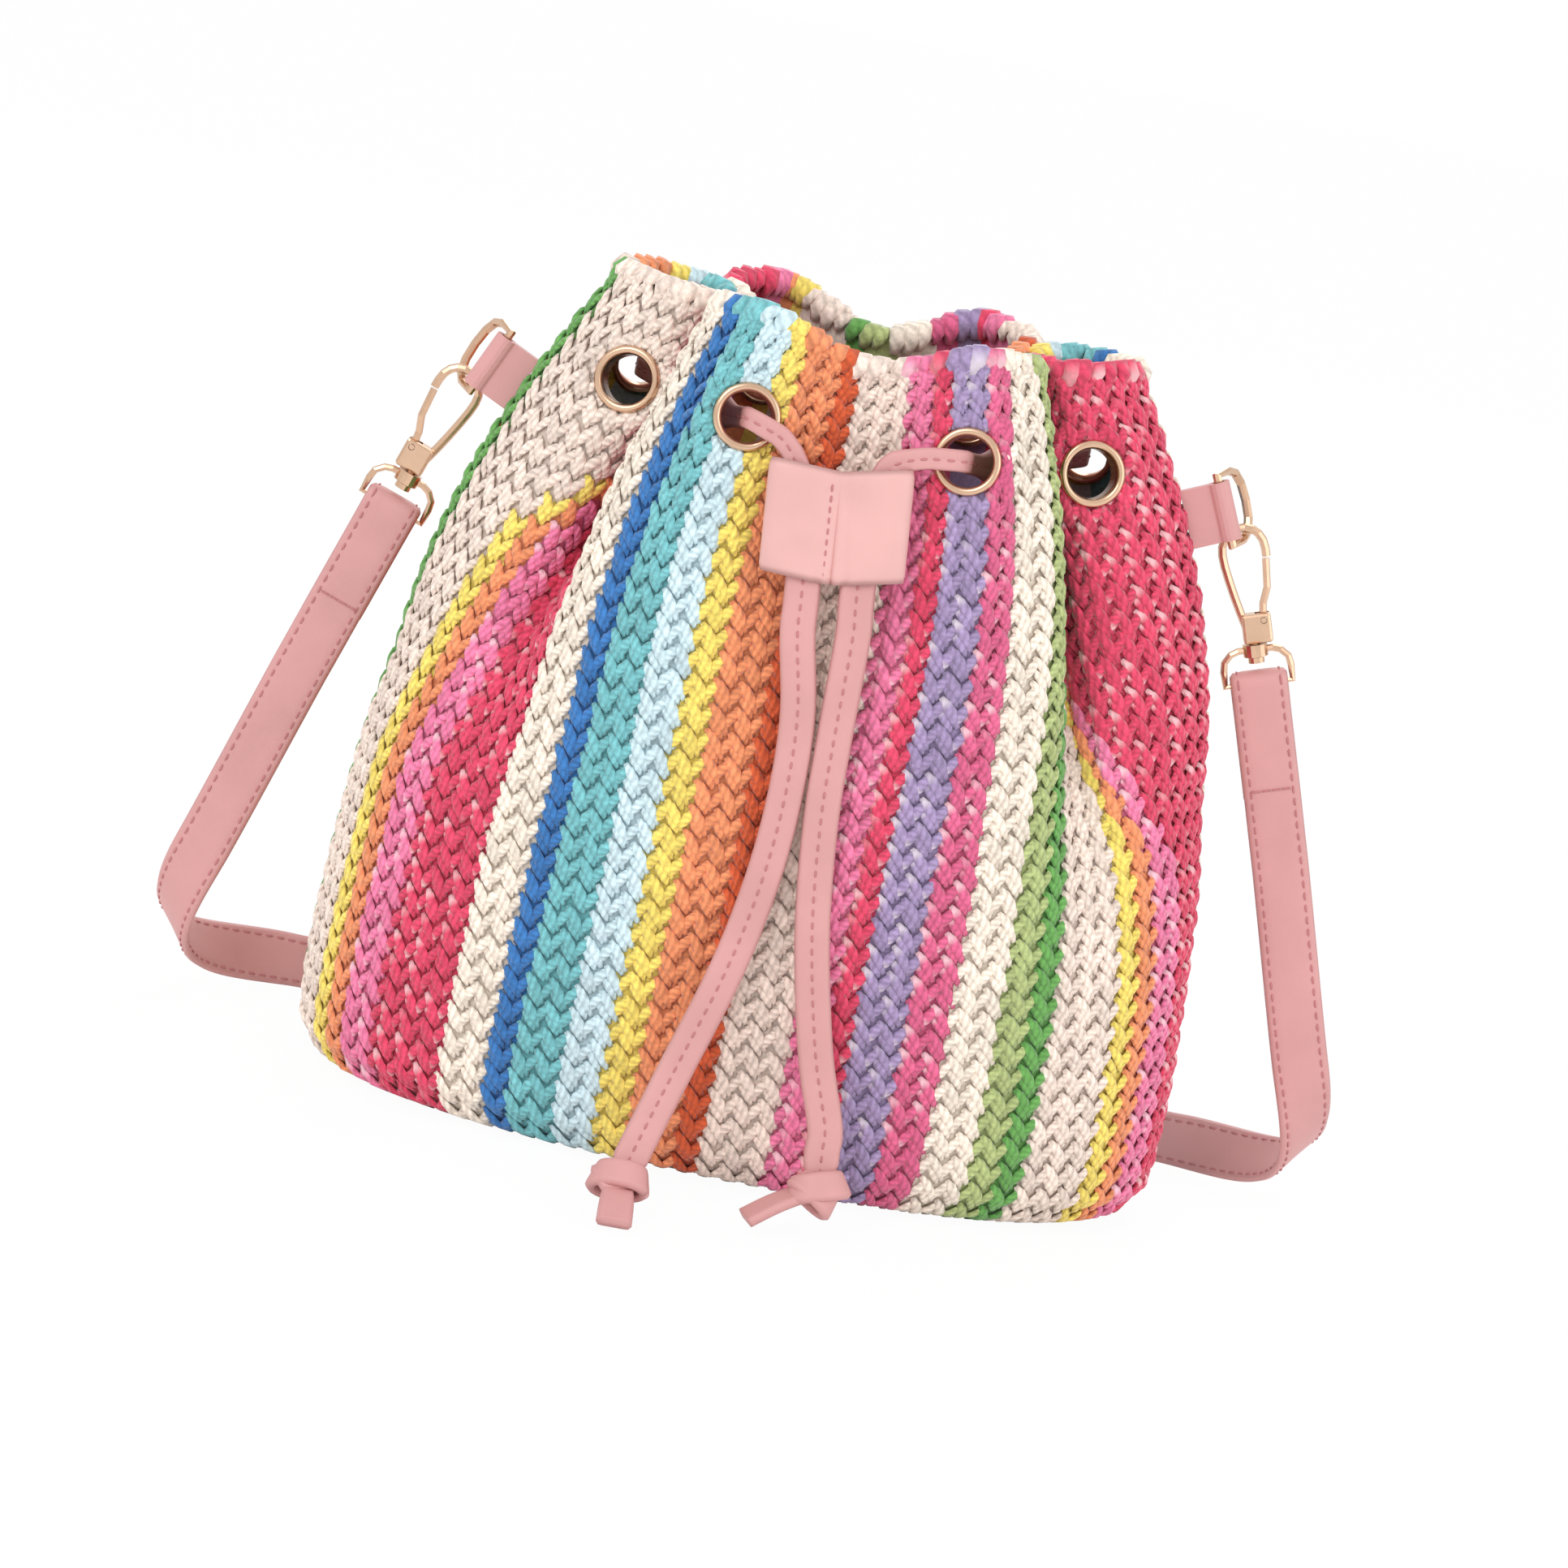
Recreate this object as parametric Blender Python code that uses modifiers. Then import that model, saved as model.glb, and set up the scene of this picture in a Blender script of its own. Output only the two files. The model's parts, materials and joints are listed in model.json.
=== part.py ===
"""Striped crochet-look drawstring bucket bag with a clip-on shoulder strap.

Metres, +Z up. The bag stands on its base: the origin is the middle of the base's
underside, the front faces -Y, and the strap's two ends are at -X and +X.
"""

import math

import bmesh
import bpy
import numpy as np
from mathutils import Matrix, Vector

# Body: a fabric tube of stitch columns on an oval base, gathered into four lobes at the mouth
BASE_WIDTH = 0.224
BASE_DEPTH = 0.120
BAG_HEIGHT = 0.215
FABRIC = 0.003
COLUMNS = 45  # stitch columns in each panel, counted from the left seam round the front
RIDGE = 0.0008  # how far a stitch column stands proud of the groove beside it
SAMPLES = 2  # mesh steps in each stitch column
GAP = 0.0003  # between pieces that touch
SEAM_GAP = 0.0008
FOOT_LIFT = 0.0008  # of the wall's outer edge, whose inner edge is lower
BASE_SEAT = 0.0018  # how far inside the wall's foot the base's edge lies
OVAL_POWER = 2.3
FOLD_FOOT_LEFT = 0.080  # height at which the folds start, at each side
FOLD_FOOT_RIGHT = 0.055

# Share of the height, of the half width and of the half depth, from the foot to the rim
PROFILE = (
    (0.000, 0.893, 0.800),
    (0.013, 0.950, 0.905),
    (0.045, 0.993, 0.985),
    (0.140, 1.000, 1.000),
    (0.285, 0.985, 1.000),
    (0.405, 0.964, 1.000),
    (0.495, 0.933, 0.990),
    (0.620, 0.898, 0.965),
    (0.745, 0.830, 0.920),
    (0.845, 0.750, 0.870),
    (0.930, 0.665, 0.820),
    (1.000, 0.595, 0.790),
)

# The gathered mouth, a quarter of it: stitch column, shares of the half width and half depth
# there, and how much of the height the rim drops
MOUTH = (
    (0.0, 1.000, 0.00, 0.000),
    (2.6, 0.885, 0.32, 0.002),
    (5.0, 0.735, 0.45, 0.008),
    (6.7, 0.625, 0.40, 0.014),
    (8.8, 0.545, 0.14, 0.018),
    (11.6, 0.610, 0.64, 0.006),
    (14.0, 0.490, 0.88, 0.000),
    (17.0, 0.340, 1.00, 0.004),
    (22.5, 0.000, 0.83, 0.040),
)

# Mesh rows of the wall, as shares of the height
ROWS = (0.0, 0.013, 0.045, 0.14, 0.32, 0.50, 0.64, 0.75, 0.839, 0.884, 0.929, 1.0)

# Eyelets: a grommet through the wall and a washer behind it
EYELET_COLUMNS = (5.0, 17.0, 28.0, 40.0)
RIM_TO_EYELET = 0.025
EYELET_HEIGHT = BAG_HEIGHT - RIM_TO_EYELET
EYELET_HOLE = 0.0062  # radius of the clear hole
EYELET_WALL = 0.0007
EYELET_FLANGE = 0.0084  # outer radius
EYELET_RISE = 0.0015
WASHER_THICKNESS = 0.0008
WASHER_RADIUS = 0.0077
WASHER_SLACK = 0.0011  # between the washer and the waving fabric
EYELET_STEPS = 16
FLAT_RADIUS = 0.0105  # fabric held flat round an eyelet
FLAT_FADE = 0.006
FLAT_COLUMNS = 3.2  # and how many stitch columns that reaches at most

# Drawcord, cord slider and the cord's two tails
CORD_WIDTH = 0.0087
CORD_THICKNESS = 0.0026
SLIDER_WIDTH = 0.0352
SLIDER_HEIGHT = 0.0272
SLIDER_HALF_DEPTH = 0.0031
SLIDER_PINCH = 0.0014
SLIDER_EDGE = 0.0014  # leather outside a channel
SLIDER_MIDDLE = 0.0016  # half of the leather between the channels
CHANNEL_HALF_WIDTH = (SLIDER_WIDTH / 2 - SLIDER_EDGE - SLIDER_MIDDLE) / 2
CHANNEL_CENTRE = SLIDER_MIDDLE + CHANNEL_HALF_WIDTH
CHANNEL_HALF_DEPTH = 0.0017
EYELET_TO_SLIDER = 0.0192
SLIDER_CENTRE = (-0.0009, -0.0578, EYELET_HEIGHT - EYELET_TO_SLIDER)
SLIDER_ROLL = math.radians(5.7)
SLIDER_LEAN = math.radians(7.0)
SLIDE_RUN = 0.015  # straight stretch below the slider
KNOT_RADIUS = 0.0072
KNOT_FLATNESS = 0.8
FOOT_SPREAD = 0.0066  # of the tails at the slider's foot, from its middle
CORD_PINCH = 0.62  # share of the cord's width left where it is squeezed
PINCH_REACH = 0.013  # from an eyelet's centre
CORD_RISE = 0.009  # how far above the slider the cord turns out
CORD_REACH = 0.0042  # how far in front of the fabric the cord lies at an eyelet
CORD_DIP = 0.003  # how far below the eyelets' middles the cord runs inside
CORD_LIFT = 0.015  # pull of the curve that leads up out of the slider
CORD_DRAW = 0.010  # and of its end at an eyelet
EYELET_DEPTHS = (0.0030, 0.0080)  # of the cord's points behind an eyelet's face
HOLE_DEPTH = 0.010  # of the cut for an eyelet
HOLE_OFFSET = -0.002

# The cord in a channel, in the slider's frame; then where it runs inside the mouth, from the
# front eyelet round a fold to the side lobe's, outside to the back eyelet, and inside again
CHANNEL_RUN = (
    (FOOT_SPREAD, -SLIDER_HEIGHT / 2), (FOOT_SPREAD, -0.0100), (0.0073, -0.0040),
    (0.0086, 0.0030), (0.0098, 0.0095), (0.0107, SLIDER_HEIGHT / 2),
)
CORD_INSIDE = ((0.0325, -0.0300), (0.0362, -0.0110), (0.0415, -0.0020), (0.0490, 0.0065))
CORD_OUTSIDE = ((0.0568, 0.0330), (0.0525, 0.0450), (0.0420, 0.0535))
CORD_BEHIND = ((0.0190, 0.0375), (0.0000, 0.0355))

# Each tail's route below the slider, and the knot's middle and its tip's end
TAIL_LEFT = (
    (-0.0004, -0.0622, 0.1197),
    (-0.0003, -0.0650, 0.0914),
    (-0.0046, -0.0670, 0.0620),
    (-0.0128, -0.0740, 0.0330),
    (-0.0172, -0.0822, 0.0185),
)
KNOT_LEFT = ((-0.0205, -0.0900, 0.0079), (-0.0195, -0.1055, 0.0022))
TAIL_RIGHT = (
    (0.0090, -0.0622, 0.1190),
    (0.0098, -0.0645, 0.0990),
    (0.0132, -0.0662, 0.0717),
    (0.0197, -0.0690, 0.0436),
    (0.0256, -0.0733, 0.0268),
)
KNOT_RIGHT = ((0.0270, -0.0790, 0.0125), (0.0110, -0.0850, 0.0035))

# Side tabs, D-rings, snap hooks and swivel loops
RIM_TO_TAB = 0.0355
TAB_HEIGHT = BAG_HEIGHT - RIM_TO_TAB
TAB_WIDTH = 0.015
TAB_LEATHER = 0.0013
TAB_REACH = 0.0105  # from the side seam to the D-ring's bar
RING_WIRE = 0.0012  # radius
RING_HALF_BAR = TAB_WIDTH / 2 + RING_WIRE + 0.0004
RING_DEPTH = 0.0122
RING_TURN = math.radians(60)  # how far the ring is swung to the back about its bar
HANG = 0.0060  # where the hook hangs on the ring, from the bar
HOOK_WIRE = 0.0011
HOOK_LEAN = math.radians(19)
HOOK_TOP = 0.0332  # from the collar's foot to the middle of the bow's wire
BOW_CLEARANCE = 0.0009
COLLAR_RADIUS = 0.0032
COLLAR_HEIGHT = 0.0031
SHANK_RADIUS = 0.0013
HEAD_RADIUS = 0.0021
HEAD_HEIGHT = 0.0014
BLOCK_HALF_DEPTH = 0.0024
TONGUE_HALF_DEPTH = 0.0009
PIN_RADIUS = 0.0007
PIN_OUT = 0.0029  # of the pin, from the hook's axis
PIN_UP = 0.0092  # and above the collar's foot
BOW_HALF_WIDTH = 0.0055
GATE_WIRE = 0.00095
LOOP_WIRE = 0.0009
LOOP_DROP = 0.0072

# Shoulder strap
STRAP_WIDTH = 0.0146
STRAP_THICKNESS = 0.0024
STRAP_FOLD = 0.030  # length of the end that is folded back and sewn down
STRAP_OUT = 0.1478  # furthest out that the strap's middle reaches, from the bag's middle
STRAP_LEAN = math.radians(17.0)  # of its straight run
STRAP_LEAD = 0.008  # from the sewn end down to where the straight run begins
STRAP_PULL = 0.03  # pull of the curves at their ends
STRAP_MEETS = 12.5  # stitch columns behind the side seam where it comes against the bag
WRAP_RADIUS = 0.020  # of the turn that lays the strap on its edge on the floor
STRAP_BEHIND = 0.0055  # from the bag's foot to the strap's middle, behind the bag

# Yarn colours, and the stripes' order with their widths in stitch columns
YARN = {
    "cream": (240, 220, 200),
    "blue": (60, 120, 185),
    "teal": (120, 190, 195),
    "pale_blue": (205, 228, 235),
    "yellow": (245, 220, 110),
    "light_orange": (240, 140, 95),
    "deep_orange": (215, 95, 55),
    "beige": (228, 205, 190),
    "pink": (235, 110, 160),
    "crimson": (224, 72, 104),
    "lavender": (165, 145, 185),
    "magenta": (215, 90, 135),
    "light_green": (190, 200, 140),
    "green": (105, 165, 85),
}
STRIPES = (
    ("cream", 2.0), ("blue", 1.0), ("teal", 2.0), ("pale_blue", 1.5), ("yellow", 1.5),
    ("light_orange", 2.0), ("deep_orange", 1.0), ("beige", 2.5), ("pink", 1.5), ("crimson", 1.0),
    ("lavender", 2.0), ("magenta", 1.5), ("cream", 2.0), ("light_green", 1.5), ("green", 1.0),
    ("beige", 3.0), ("yellow", 1.0), ("light_orange", 1.0), ("pink", 1.5), ("crimson", 3.5),
)
FIRST_STRIPE = 23.0  # how far into the stripes' order the left seam lies
LEATHER = (218, 165, 162)
SLIDER_LEATHER = (240, 190, 187)
GOLD = (214, 172, 130)


# Scene and materials

def clear_scene():
    for thing in list(bpy.data.objects):
        bpy.data.objects.remove(thing, do_unlink=True)


def collection(name):
    made = bpy.data.collections.new(name)
    bpy.context.scene.collection.children.link(made)
    return made


def linear(colour):
    """8-bit display colour to the linear values that a shader takes."""
    shares = [value / 255 for value in colour]
    return [s / 12.92 if s <= 0.04045 else ((s + 0.055) / 1.055) ** 2.4 for s in shares]


def material(name, colour, roughness, metallic=0.0):
    made = bpy.data.materials.new(name)
    made.use_nodes = True
    shader = made.node_tree.nodes["Principled BSDF"]
    shader.inputs["Base Color"].default_value = (*linear(colour), 1.0)
    shader.inputs["Roughness"].default_value = roughness
    shader.inputs["Metallic"].default_value = metallic
    made.diffuse_color = (*linear(colour), 1.0)
    return made


def add_object(name, mesh, where, look=None):
    made = bpy.data.objects.new(name, mesh)
    where.objects.link(made)
    if look is not None:
        mesh.materials.clear()
        mesh.materials.append(look)
    return made


def finished_mesh(thing):
    """The evaluated mesh of an object, welded, with the object itself removed."""
    bpy.context.view_layer.update()
    graph = bpy.context.evaluated_depsgraph_get()
    mesh = bpy.data.meshes.new_from_object(thing.evaluated_get(graph))
    welded = bmesh.new()
    welded.from_mesh(mesh)
    bmesh.ops.remove_doubles(welded, verts=welded.verts, dist=1e-6)
    bmesh.ops.recalc_face_normals(welded, faces=welded.faces)
    welded.to_mesh(mesh)
    welded.free()
    bpy.data.objects.remove(thing, do_unlink=True)
    return mesh


def combine(thing, other, operation):
    """Join another object to this one, or cut it out, and remove the other."""
    step = thing.modifiers.new(operation.lower(), "BOOLEAN")
    step.operation = operation
    step.object = other
    bpy.context.view_layer.update()
    graph = bpy.context.evaluated_depsgraph_get()
    thing.data = bpy.data.meshes.new_from_object(thing.evaluated_get(graph))
    thing.modifiers.clear()
    bpy.data.objects.remove(other, do_unlink=True)


# Smooth curves

def blend(p0, p1, p2, p3, t):
    """Catmull-Rom: a point between p1 and p2, at a share t of the way."""
    return 0.5 * (
        2 * p1
        + (p2 - p0) * t
        + (2 * p0 - 5 * p1 + 4 * p2 - p3) * t**2
        + (3 * p1 - p0 - 3 * p2 + p3) * t**3
    )


def along(points, place):
    """A point on the smooth curve through points, at a place from 0 to the last one's number."""
    last = len(points) - 1
    i = min(max(int(place), 0), last - 1)
    near = [np.array(points[min(max(k, 0), last)], float) for k in range(i - 1, i + 3)]
    return blend(*near, place - i)


def round_ring(points, place):
    """The same on a closed ring of points."""
    i = int(math.floor(place))
    near = [np.array(points[k % len(points)], float) for k in range(i - 1, i + 3)]
    return blend(*near, place - i)


def smooth_step(t):
    t = min(max(t, 0.0), 1.0)
    return t * t * (3 - 2 * t)


def curve_points(points, count):
    """Evenly numbered points on the smooth curve through a few points."""
    last = len(points) - 1
    return [along(points, last * i / (count - 1)) for i in range(count)]


def bend(start, start_run, end, end_run, count):
    """Points on the curve that leaves start along start_run and reaches end along end_run."""
    made = []
    for i in range(count):
        t = i / (count - 1)
        made.append(
            (2 * t**3 - 3 * t**2 + 1) * start
            + (t**3 - 2 * t**2 + t) * start_run
            + (3 * t**2 - 2 * t**3) * end
            + (t**3 - t**2) * end_run
        )
    return made


# The wall's surface

def oval_table():
    """Shares of the half width and half depth round the base, by share of its length."""
    steps = np.linspace(0, 2 * math.pi, 721)
    c, s = -np.cos(steps), -np.sin(steps)
    x = np.sign(c) * np.abs(c) ** (2 / OVAL_POWER)
    y = np.sign(s) * np.abs(s) ** (2 / OVAL_POWER)
    lengths = np.hypot(np.diff(x) * BASE_WIDTH / 2, np.diff(y) * BASE_DEPTH / 2)
    length = np.concatenate([[0], np.cumsum(lengths)])
    return length, x, y


OVAL = oval_table()
PITCH = OVAL[0][-1] / (2 * COLUMNS)  # width of a stitch column


def oval(column):
    length, x, y = OVAL
    at = (column * PITCH) % length[-1]
    return np.array([np.interp(at, length, x), np.interp(at, length, y)])


def mouth_ring():
    """The whole mouth from its quarter: right half, then back, as (column, x, y, drop)."""
    front = [(c, -x, -y, drop) for c, x, y, drop in MOUTH]
    front += [(COLUMNS - c, x, -y, drop) for c, x, y, drop in reversed(MOUTH[:-1])]
    back = [(2 * COLUMNS - c, x, -y, drop) for c, x, y, drop in reversed(front[1:-1])]
    return front + back


RING = mouth_ring()
RING_COLUMNS = [key[0] for key in RING] + [2 * COLUMNS]


def mouth(column):
    """Shares of the half width and half depth, and the rim's drop, at a column of the mouth."""
    place = np.interp(column % (2 * COLUMNS), RING_COLUMNS, range(len(RING_COLUMNS)))
    return round_ring([key[1:] for key in RING], float(place))


def fold_share(column, height):
    """How much of the mouth's folds the wall has: none at their foot, all at the eyelets."""
    front = min(column % (2 * COLUMNS), 2 * COLUMNS - column % (2 * COLUMNS))
    across = 0.5 - 0.5 * math.cos(math.pi * front / COLUMNS)
    foot = FOLD_FOOT_LEFT + (FOLD_FOOT_RIGHT - FOLD_FOOT_LEFT) * across
    return smooth_step((height - foot) / (EYELET_HEIGHT - foot))


def loose_wall(column, share):
    """The fabric's outer face at a stitch column and share of the height, with no ridges."""
    heights = [row[0] for row in PROFILE]
    _, wide, deep = along(PROFILE, float(np.interp(share, heights, range(len(PROFILE)))))
    folded = fold_share(column, share * BAG_HEIGHT)
    x, y, drop = mouth(column)
    plain = oval(column)
    x = (1 - folded) * plain[0] + folded * x
    y = (1 - folded) * plain[1] + folded * y
    z = FOOT_LIFT + share * (BAG_HEIGHT - FOOT_LIFT) - drop * share**8 * BAG_HEIGHT
    return np.array([x * wide * BASE_WIDTH / 2, y * deep * BASE_DEPTH / 2, z])


def outward(surface, column, share):
    """Unit normal of a surface given as a function of column and share of the height."""
    low, high = max(share - 0.004, 0.0), min(share + 0.004, 1.0)
    across = surface(column + 0.05, share) - surface(column - 0.05, share)
    up = surface(column, high) - surface(column, low)
    normal = np.cross(across, up)
    return normal / np.linalg.norm(normal)


def eyelet_places():
    """Column, centre and outward direction of each eyelet, the front's first."""
    share = EYELET_HEIGHT / BAG_HEIGHT
    columns = [*EYELET_COLUMNS, *(COLUMNS + c for c in EYELET_COLUMNS)]
    return [(c, loose_wall(c, share), outward(loose_wall, c, share)) for c in columns]


EYELETS = eyelet_places()


def held_flat(point, column):
    """The point as the nearest eyelet holds it flat, and how firmly, from 0 to 1."""
    for at, centre, normal in EYELETS:
        if abs(column - at) < FLAT_COLUMNS:
            depth = np.dot(point - centre, normal)
            away = np.linalg.norm(point - centre - depth * normal)
            held = 1 - smooth_step((away - FLAT_RADIUS) / FLAT_FADE)
            return point - held * depth * normal, held
    return point, 0.0


def wall(column, share):
    """The outer face with the flat place round each eyelet."""
    return held_flat(loose_wall(column, share), column)[0]


def ridged_wall(column, share):
    """The outer face with its stitch columns, which lie flat at the seams and the eyelets."""
    point, held = held_flat(loose_wall(column, share), column)
    rise = RIDGE * (0.5 - 0.5 * math.cos(2 * math.pi * column)) * (1 - held)
    return point + rise * outward(wall, column, share)


# Fabric panels

def stripe_at(column):
    """Number, in YARN, of the yarn at a stitch column."""
    place = (column + FIRST_STRIPE) % sum(width for _, width in STRIPES)
    for name, width in STRIPES:
        if place < width:
            return list(YARN).index(name)
        place -= width
    return 0


def add_panel(name, first, where, yarns):
    """Half of the fabric tube, from a column just past one seam to just before the other."""
    steps = COLUMNS * SAMPLES
    edge = SEAM_GAP / 2 / PITCH
    grid = bmesh.new()
    bmesh.ops.create_grid(grid, x_segments=steps, y_segments=len(ROWS) - 1, size=1)
    for face in grid.faces:
        middle = (face.calc_center_median().x + 1) / 2 * COLUMNS
        face.material_index = stripe_at(first + middle)
    for vertex in grid.verts:
        column = (vertex.co.x + 1) / 2 * COLUMNS
        row = round((vertex.co.y + 1) / 2 * (len(ROWS) - 1))
        vertex.co = ridged_wall(first + min(max(column, edge), COLUMNS - edge), ROWS[row])
    mesh = bpy.data.meshes.new(name)
    grid.to_mesh(mesh)
    grid.free()
    panel = add_object(name, mesh, where)
    for yarn in yarns:
        mesh.materials.append(yarn)
    shell = panel.modifiers.new("fabric", "SOLIDIFY")
    shell.thickness = FABRIC
    shell.offset = -1
    return panel


def add_base(where, look):
    """Oval bottom, inside the foot of the wall."""
    wide = PROFILE[0][1] * BASE_WIDTH / 2 - BASE_SEAT
    deep = PROFILE[0][2] * BASE_DEPTH / 2 - BASE_SEAT
    outline = [oval(c) * (wide, deep) for c in np.linspace(0, 2 * COLUMNS, 48, endpoint=False)]
    base = flat_outline("base_panel", [outline], FABRIC, where, look)
    base.location.z = FABRIC / 2
    return base


def flat_outline(name, outlines, thickness, where, look):
    """A plate from closed outlines in its own XY plane: the first outside, the others holes."""
    curve = bpy.data.curves.new(name, "CURVE")
    curve.dimensions = "2D"
    curve.fill_mode = "BOTH"
    curve.extrude = thickness / 2
    curve.render_resolution_u = 0
    for points in outlines:
        line = curve.splines.new("POLY")
        line.points.add(len(points) - 1)
        for point, (x, y) in zip(line.points, points):
            point.co = (x, y, 0, 1)
        line.use_cyclic_u = True
    return add_object(name, finished_mesh(add_object(name, curve, where)), where, look)


# Turned pieces, wires and bands

def turned(name, profile, steps, where, look):
    """A ring or pin from a closed profile of (radius, height) points, about its own Z."""
    mesh = bpy.data.meshes.new(name)
    points = [(radius, 0, height) for radius, height in profile]
    edges = [(i, (i + 1) % len(points)) for i in range(len(points))]
    mesh.from_pydata(points, edges, [])
    piece = add_object(name, mesh, where, look)
    screw = piece.modifiers.new("turn", "SCREW")
    screw.steps = steps
    screw.render_steps = steps
    screw.use_merge_vertices = True
    screw.merge_threshold = 1e-6
    screw.use_smooth_shade = True
    return piece


def wire(name, points, radius, where, look, closed=False, sides=2):
    """A round wire through points, with flat ends."""
    curve = bpy.data.curves.new(name, "CURVE")
    curve.dimensions = "3D"
    curve.bevel_depth = radius
    curve.bevel_resolution = sides
    curve.use_fill_caps = not closed
    curve.render_resolution_u = 0
    line = curve.splines.new("POLY")
    line.points.add(len(points) - 1)
    for point, place in zip(line.points, points):
        point.co = (*place, 1)
    line.use_cyclic_u = closed
    return add_object(name, finished_mesh(add_object(name, curve, where)), where, look)


def cylinder(name, radius, length, centre, axis, where, look=None, steps=16):
    """A round bar of a length, with its middle at centre."""
    bar = bmesh.new()
    bmesh.ops.create_cone(
        bar, cap_ends=True, segments=steps, radius1=radius, radius2=radius, depth=length
    )
    mesh = bpy.data.meshes.new(name)
    bar.to_mesh(mesh)
    bar.free()
    made = add_object(name, mesh, where, look)
    turn = Vector((0, 0, 1)).rotation_difference(Vector(axis)).to_matrix().to_4x4()
    mesh.transform(Matrix.Translation(Vector(centre)) @ turn)
    return made


def block(name, low, high, bevel, where, look=None):
    """A box between two corners, with rounded edges where bevel isn't 0."""
    box = bmesh.new()
    bmesh.ops.create_cube(box, size=1)
    size = Vector(high) - Vector(low)
    middle = (Vector(high) + Vector(low)) / 2
    bmesh.ops.scale(box, vec=size, verts=box.verts)
    bmesh.ops.translate(box, vec=middle, verts=box.verts)
    if bevel:
        bmesh.ops.bevel(box, geom=box.edges[:], offset=bevel, segments=2, affect="EDGES", profile=0.5)
    mesh = bpy.data.meshes.new(name)
    box.to_mesh(mesh)
    box.free()
    return add_object(name, mesh, where, look)


def band(name, stations, width, thickness, where, look):
    """A flat strip through stations of (middle, direction of its width)."""
    strip = bmesh.new()
    last = len(stations) - 1
    bmesh.ops.create_grid(strip, x_segments=last, y_segments=1, size=1)
    for vertex in strip.verts:
        middle, across = stations[round((vertex.co.x + 1) / 2 * last)]
        vertex.co = Vector(middle) + Vector(across) * (width / 2 if vertex.co.y > 0 else -width / 2)
    mesh = bpy.data.meshes.new(name)
    strip.to_mesh(mesh)
    strip.free()
    made = add_object(name, mesh, where, look)
    leather = made.modifiers.new("leather", "SOLIDIFY")
    leather.thickness = thickness
    leather.offset = 0
    return made


def frame_at(origin, x_axis, z_axis):
    """Matrix of a frame at origin with its X and Z along two directions at right angles."""
    x, z = Vector(x_axis).normalized(), Vector(z_axis).normalized()
    turn = Matrix((x, z.cross(x), z)).transposed().to_4x4()
    return Matrix.Translation(Vector(origin)) @ turn


def upright_frame(origin, normal):
    """Matrix of a frame at origin with its Z along a direction and its X level."""
    z = Vector(normal).normalized()
    return frame_at(origin, Vector((0, 0, 1)).cross(z), z)


# Eyelets

def add_eyelets(where, cutters, gold, panels):
    """A hole, a grommet and a washer at each eyelet's place."""
    barrel = EYELET_HOLE + EYELET_WALL
    foot = -(FABRIC + WASHER_SLACK + WASHER_THICKNESS)
    grommet = (
        (EYELET_HOLE, foot - 0.0010),
        (EYELET_HOLE, EYELET_RISE * 0.6),
        (EYELET_HOLE + 0.0008, EYELET_RISE),
        (EYELET_FLANGE - 0.0004, EYELET_RISE * 0.8),
        (EYELET_FLANGE, GAP),
        (barrel, GAP),
        (barrel, foot - GAP),
        (barrel + 0.0009, foot - 0.0010),
    )
    inner = barrel + GAP
    washer = (
        (inner, foot),
        (inner, foot + WASHER_THICKNESS),
        (WASHER_RADIUS, foot + WASHER_THICKNESS),
        (WASHER_RADIUS, foot),
    )
    for number, (column, centre, normal) in enumerate(EYELETS, 1):
        place = upright_frame(centre, normal)
        ring = turned(f"eyelet_{number}", grommet, EYELET_STEPS, where, gold)
        back = turned(f"eyelet_washer_{number}", washer, EYELET_STEPS, where, gold)
        hole = cylinder(
            f"eyelet_hole_{number}", barrel + GAP, HOLE_DEPTH, (0, 0, HOLE_OFFSET), (0, 0, 1), cutters
        )
        hole.display_type = "WIRE"
        hole.hide_render = True
        for piece in (ring, back, hole):
            piece.matrix_world = place
        cut = panels[0 if column < COLUMNS else 1].modifiers.new("eyelet hole", "BOOLEAN")
        cut.operation = "DIFFERENCE"
        cut.object = hole


# Drawcord, slider, tails and knots

def slider_frame():
    """The slider's own frame: X across, Z up along its channels, -Y to the front."""
    turn = Matrix.Rotation(SLIDER_LEAN, 4, "X").inverted() @ Matrix.Rotation(-SLIDER_ROLL, 4, "Y")
    return Matrix.Translation(Vector(SLIDER_CENTRE)) @ turn


def slider_place(x, z, y=0.0):
    """World place of a point given in the slider's frame."""
    return slider_frame() @ Vector((x, y, z))


def add_slider(where, look):
    """Sewn leather cord stop: a pinched tube with a channel for each side of the cord."""
    half = SLIDER_WIDTH / 2
    outer = (
        (0.0, SLIDER_PINCH),
        (0.14 * half, SLIDER_HALF_DEPTH * 0.72),
        (0.32 * half, SLIDER_HALF_DEPTH),
        (0.70 * half, SLIDER_HALF_DEPTH),
        (0.92 * half, SLIDER_HALF_DEPTH * 0.80),
        (half, SLIDER_HALF_DEPTH * 0.30),
    )
    quarter = list(outer)
    right = quarter + [(x, -y) for x, y in reversed(quarter)]
    left = [(-x, y) for x, y in right[-2:0:-1]]
    channels = []
    for side in (-1, 1):
        middle = side * CHANNEL_CENTRE
        w, d = CHANNEL_HALF_WIDTH, CHANNEL_HALF_DEPTH
        corner = 0.0009
        channels.append(
            [
                (middle - w, d - corner), (middle - w + corner, d),
                (middle + w - corner, d), (middle + w, d - corner),
                (middle + w, corner - d), (middle + w - corner, -d),
                (middle - w + corner, -d), (middle - w, corner - d),
            ]
        )
    slider = flat_outline("cord_slider", [right + left, *channels], SLIDER_HEIGHT, where, look)
    slider.matrix_world = slider_frame()
    return slider


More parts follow.
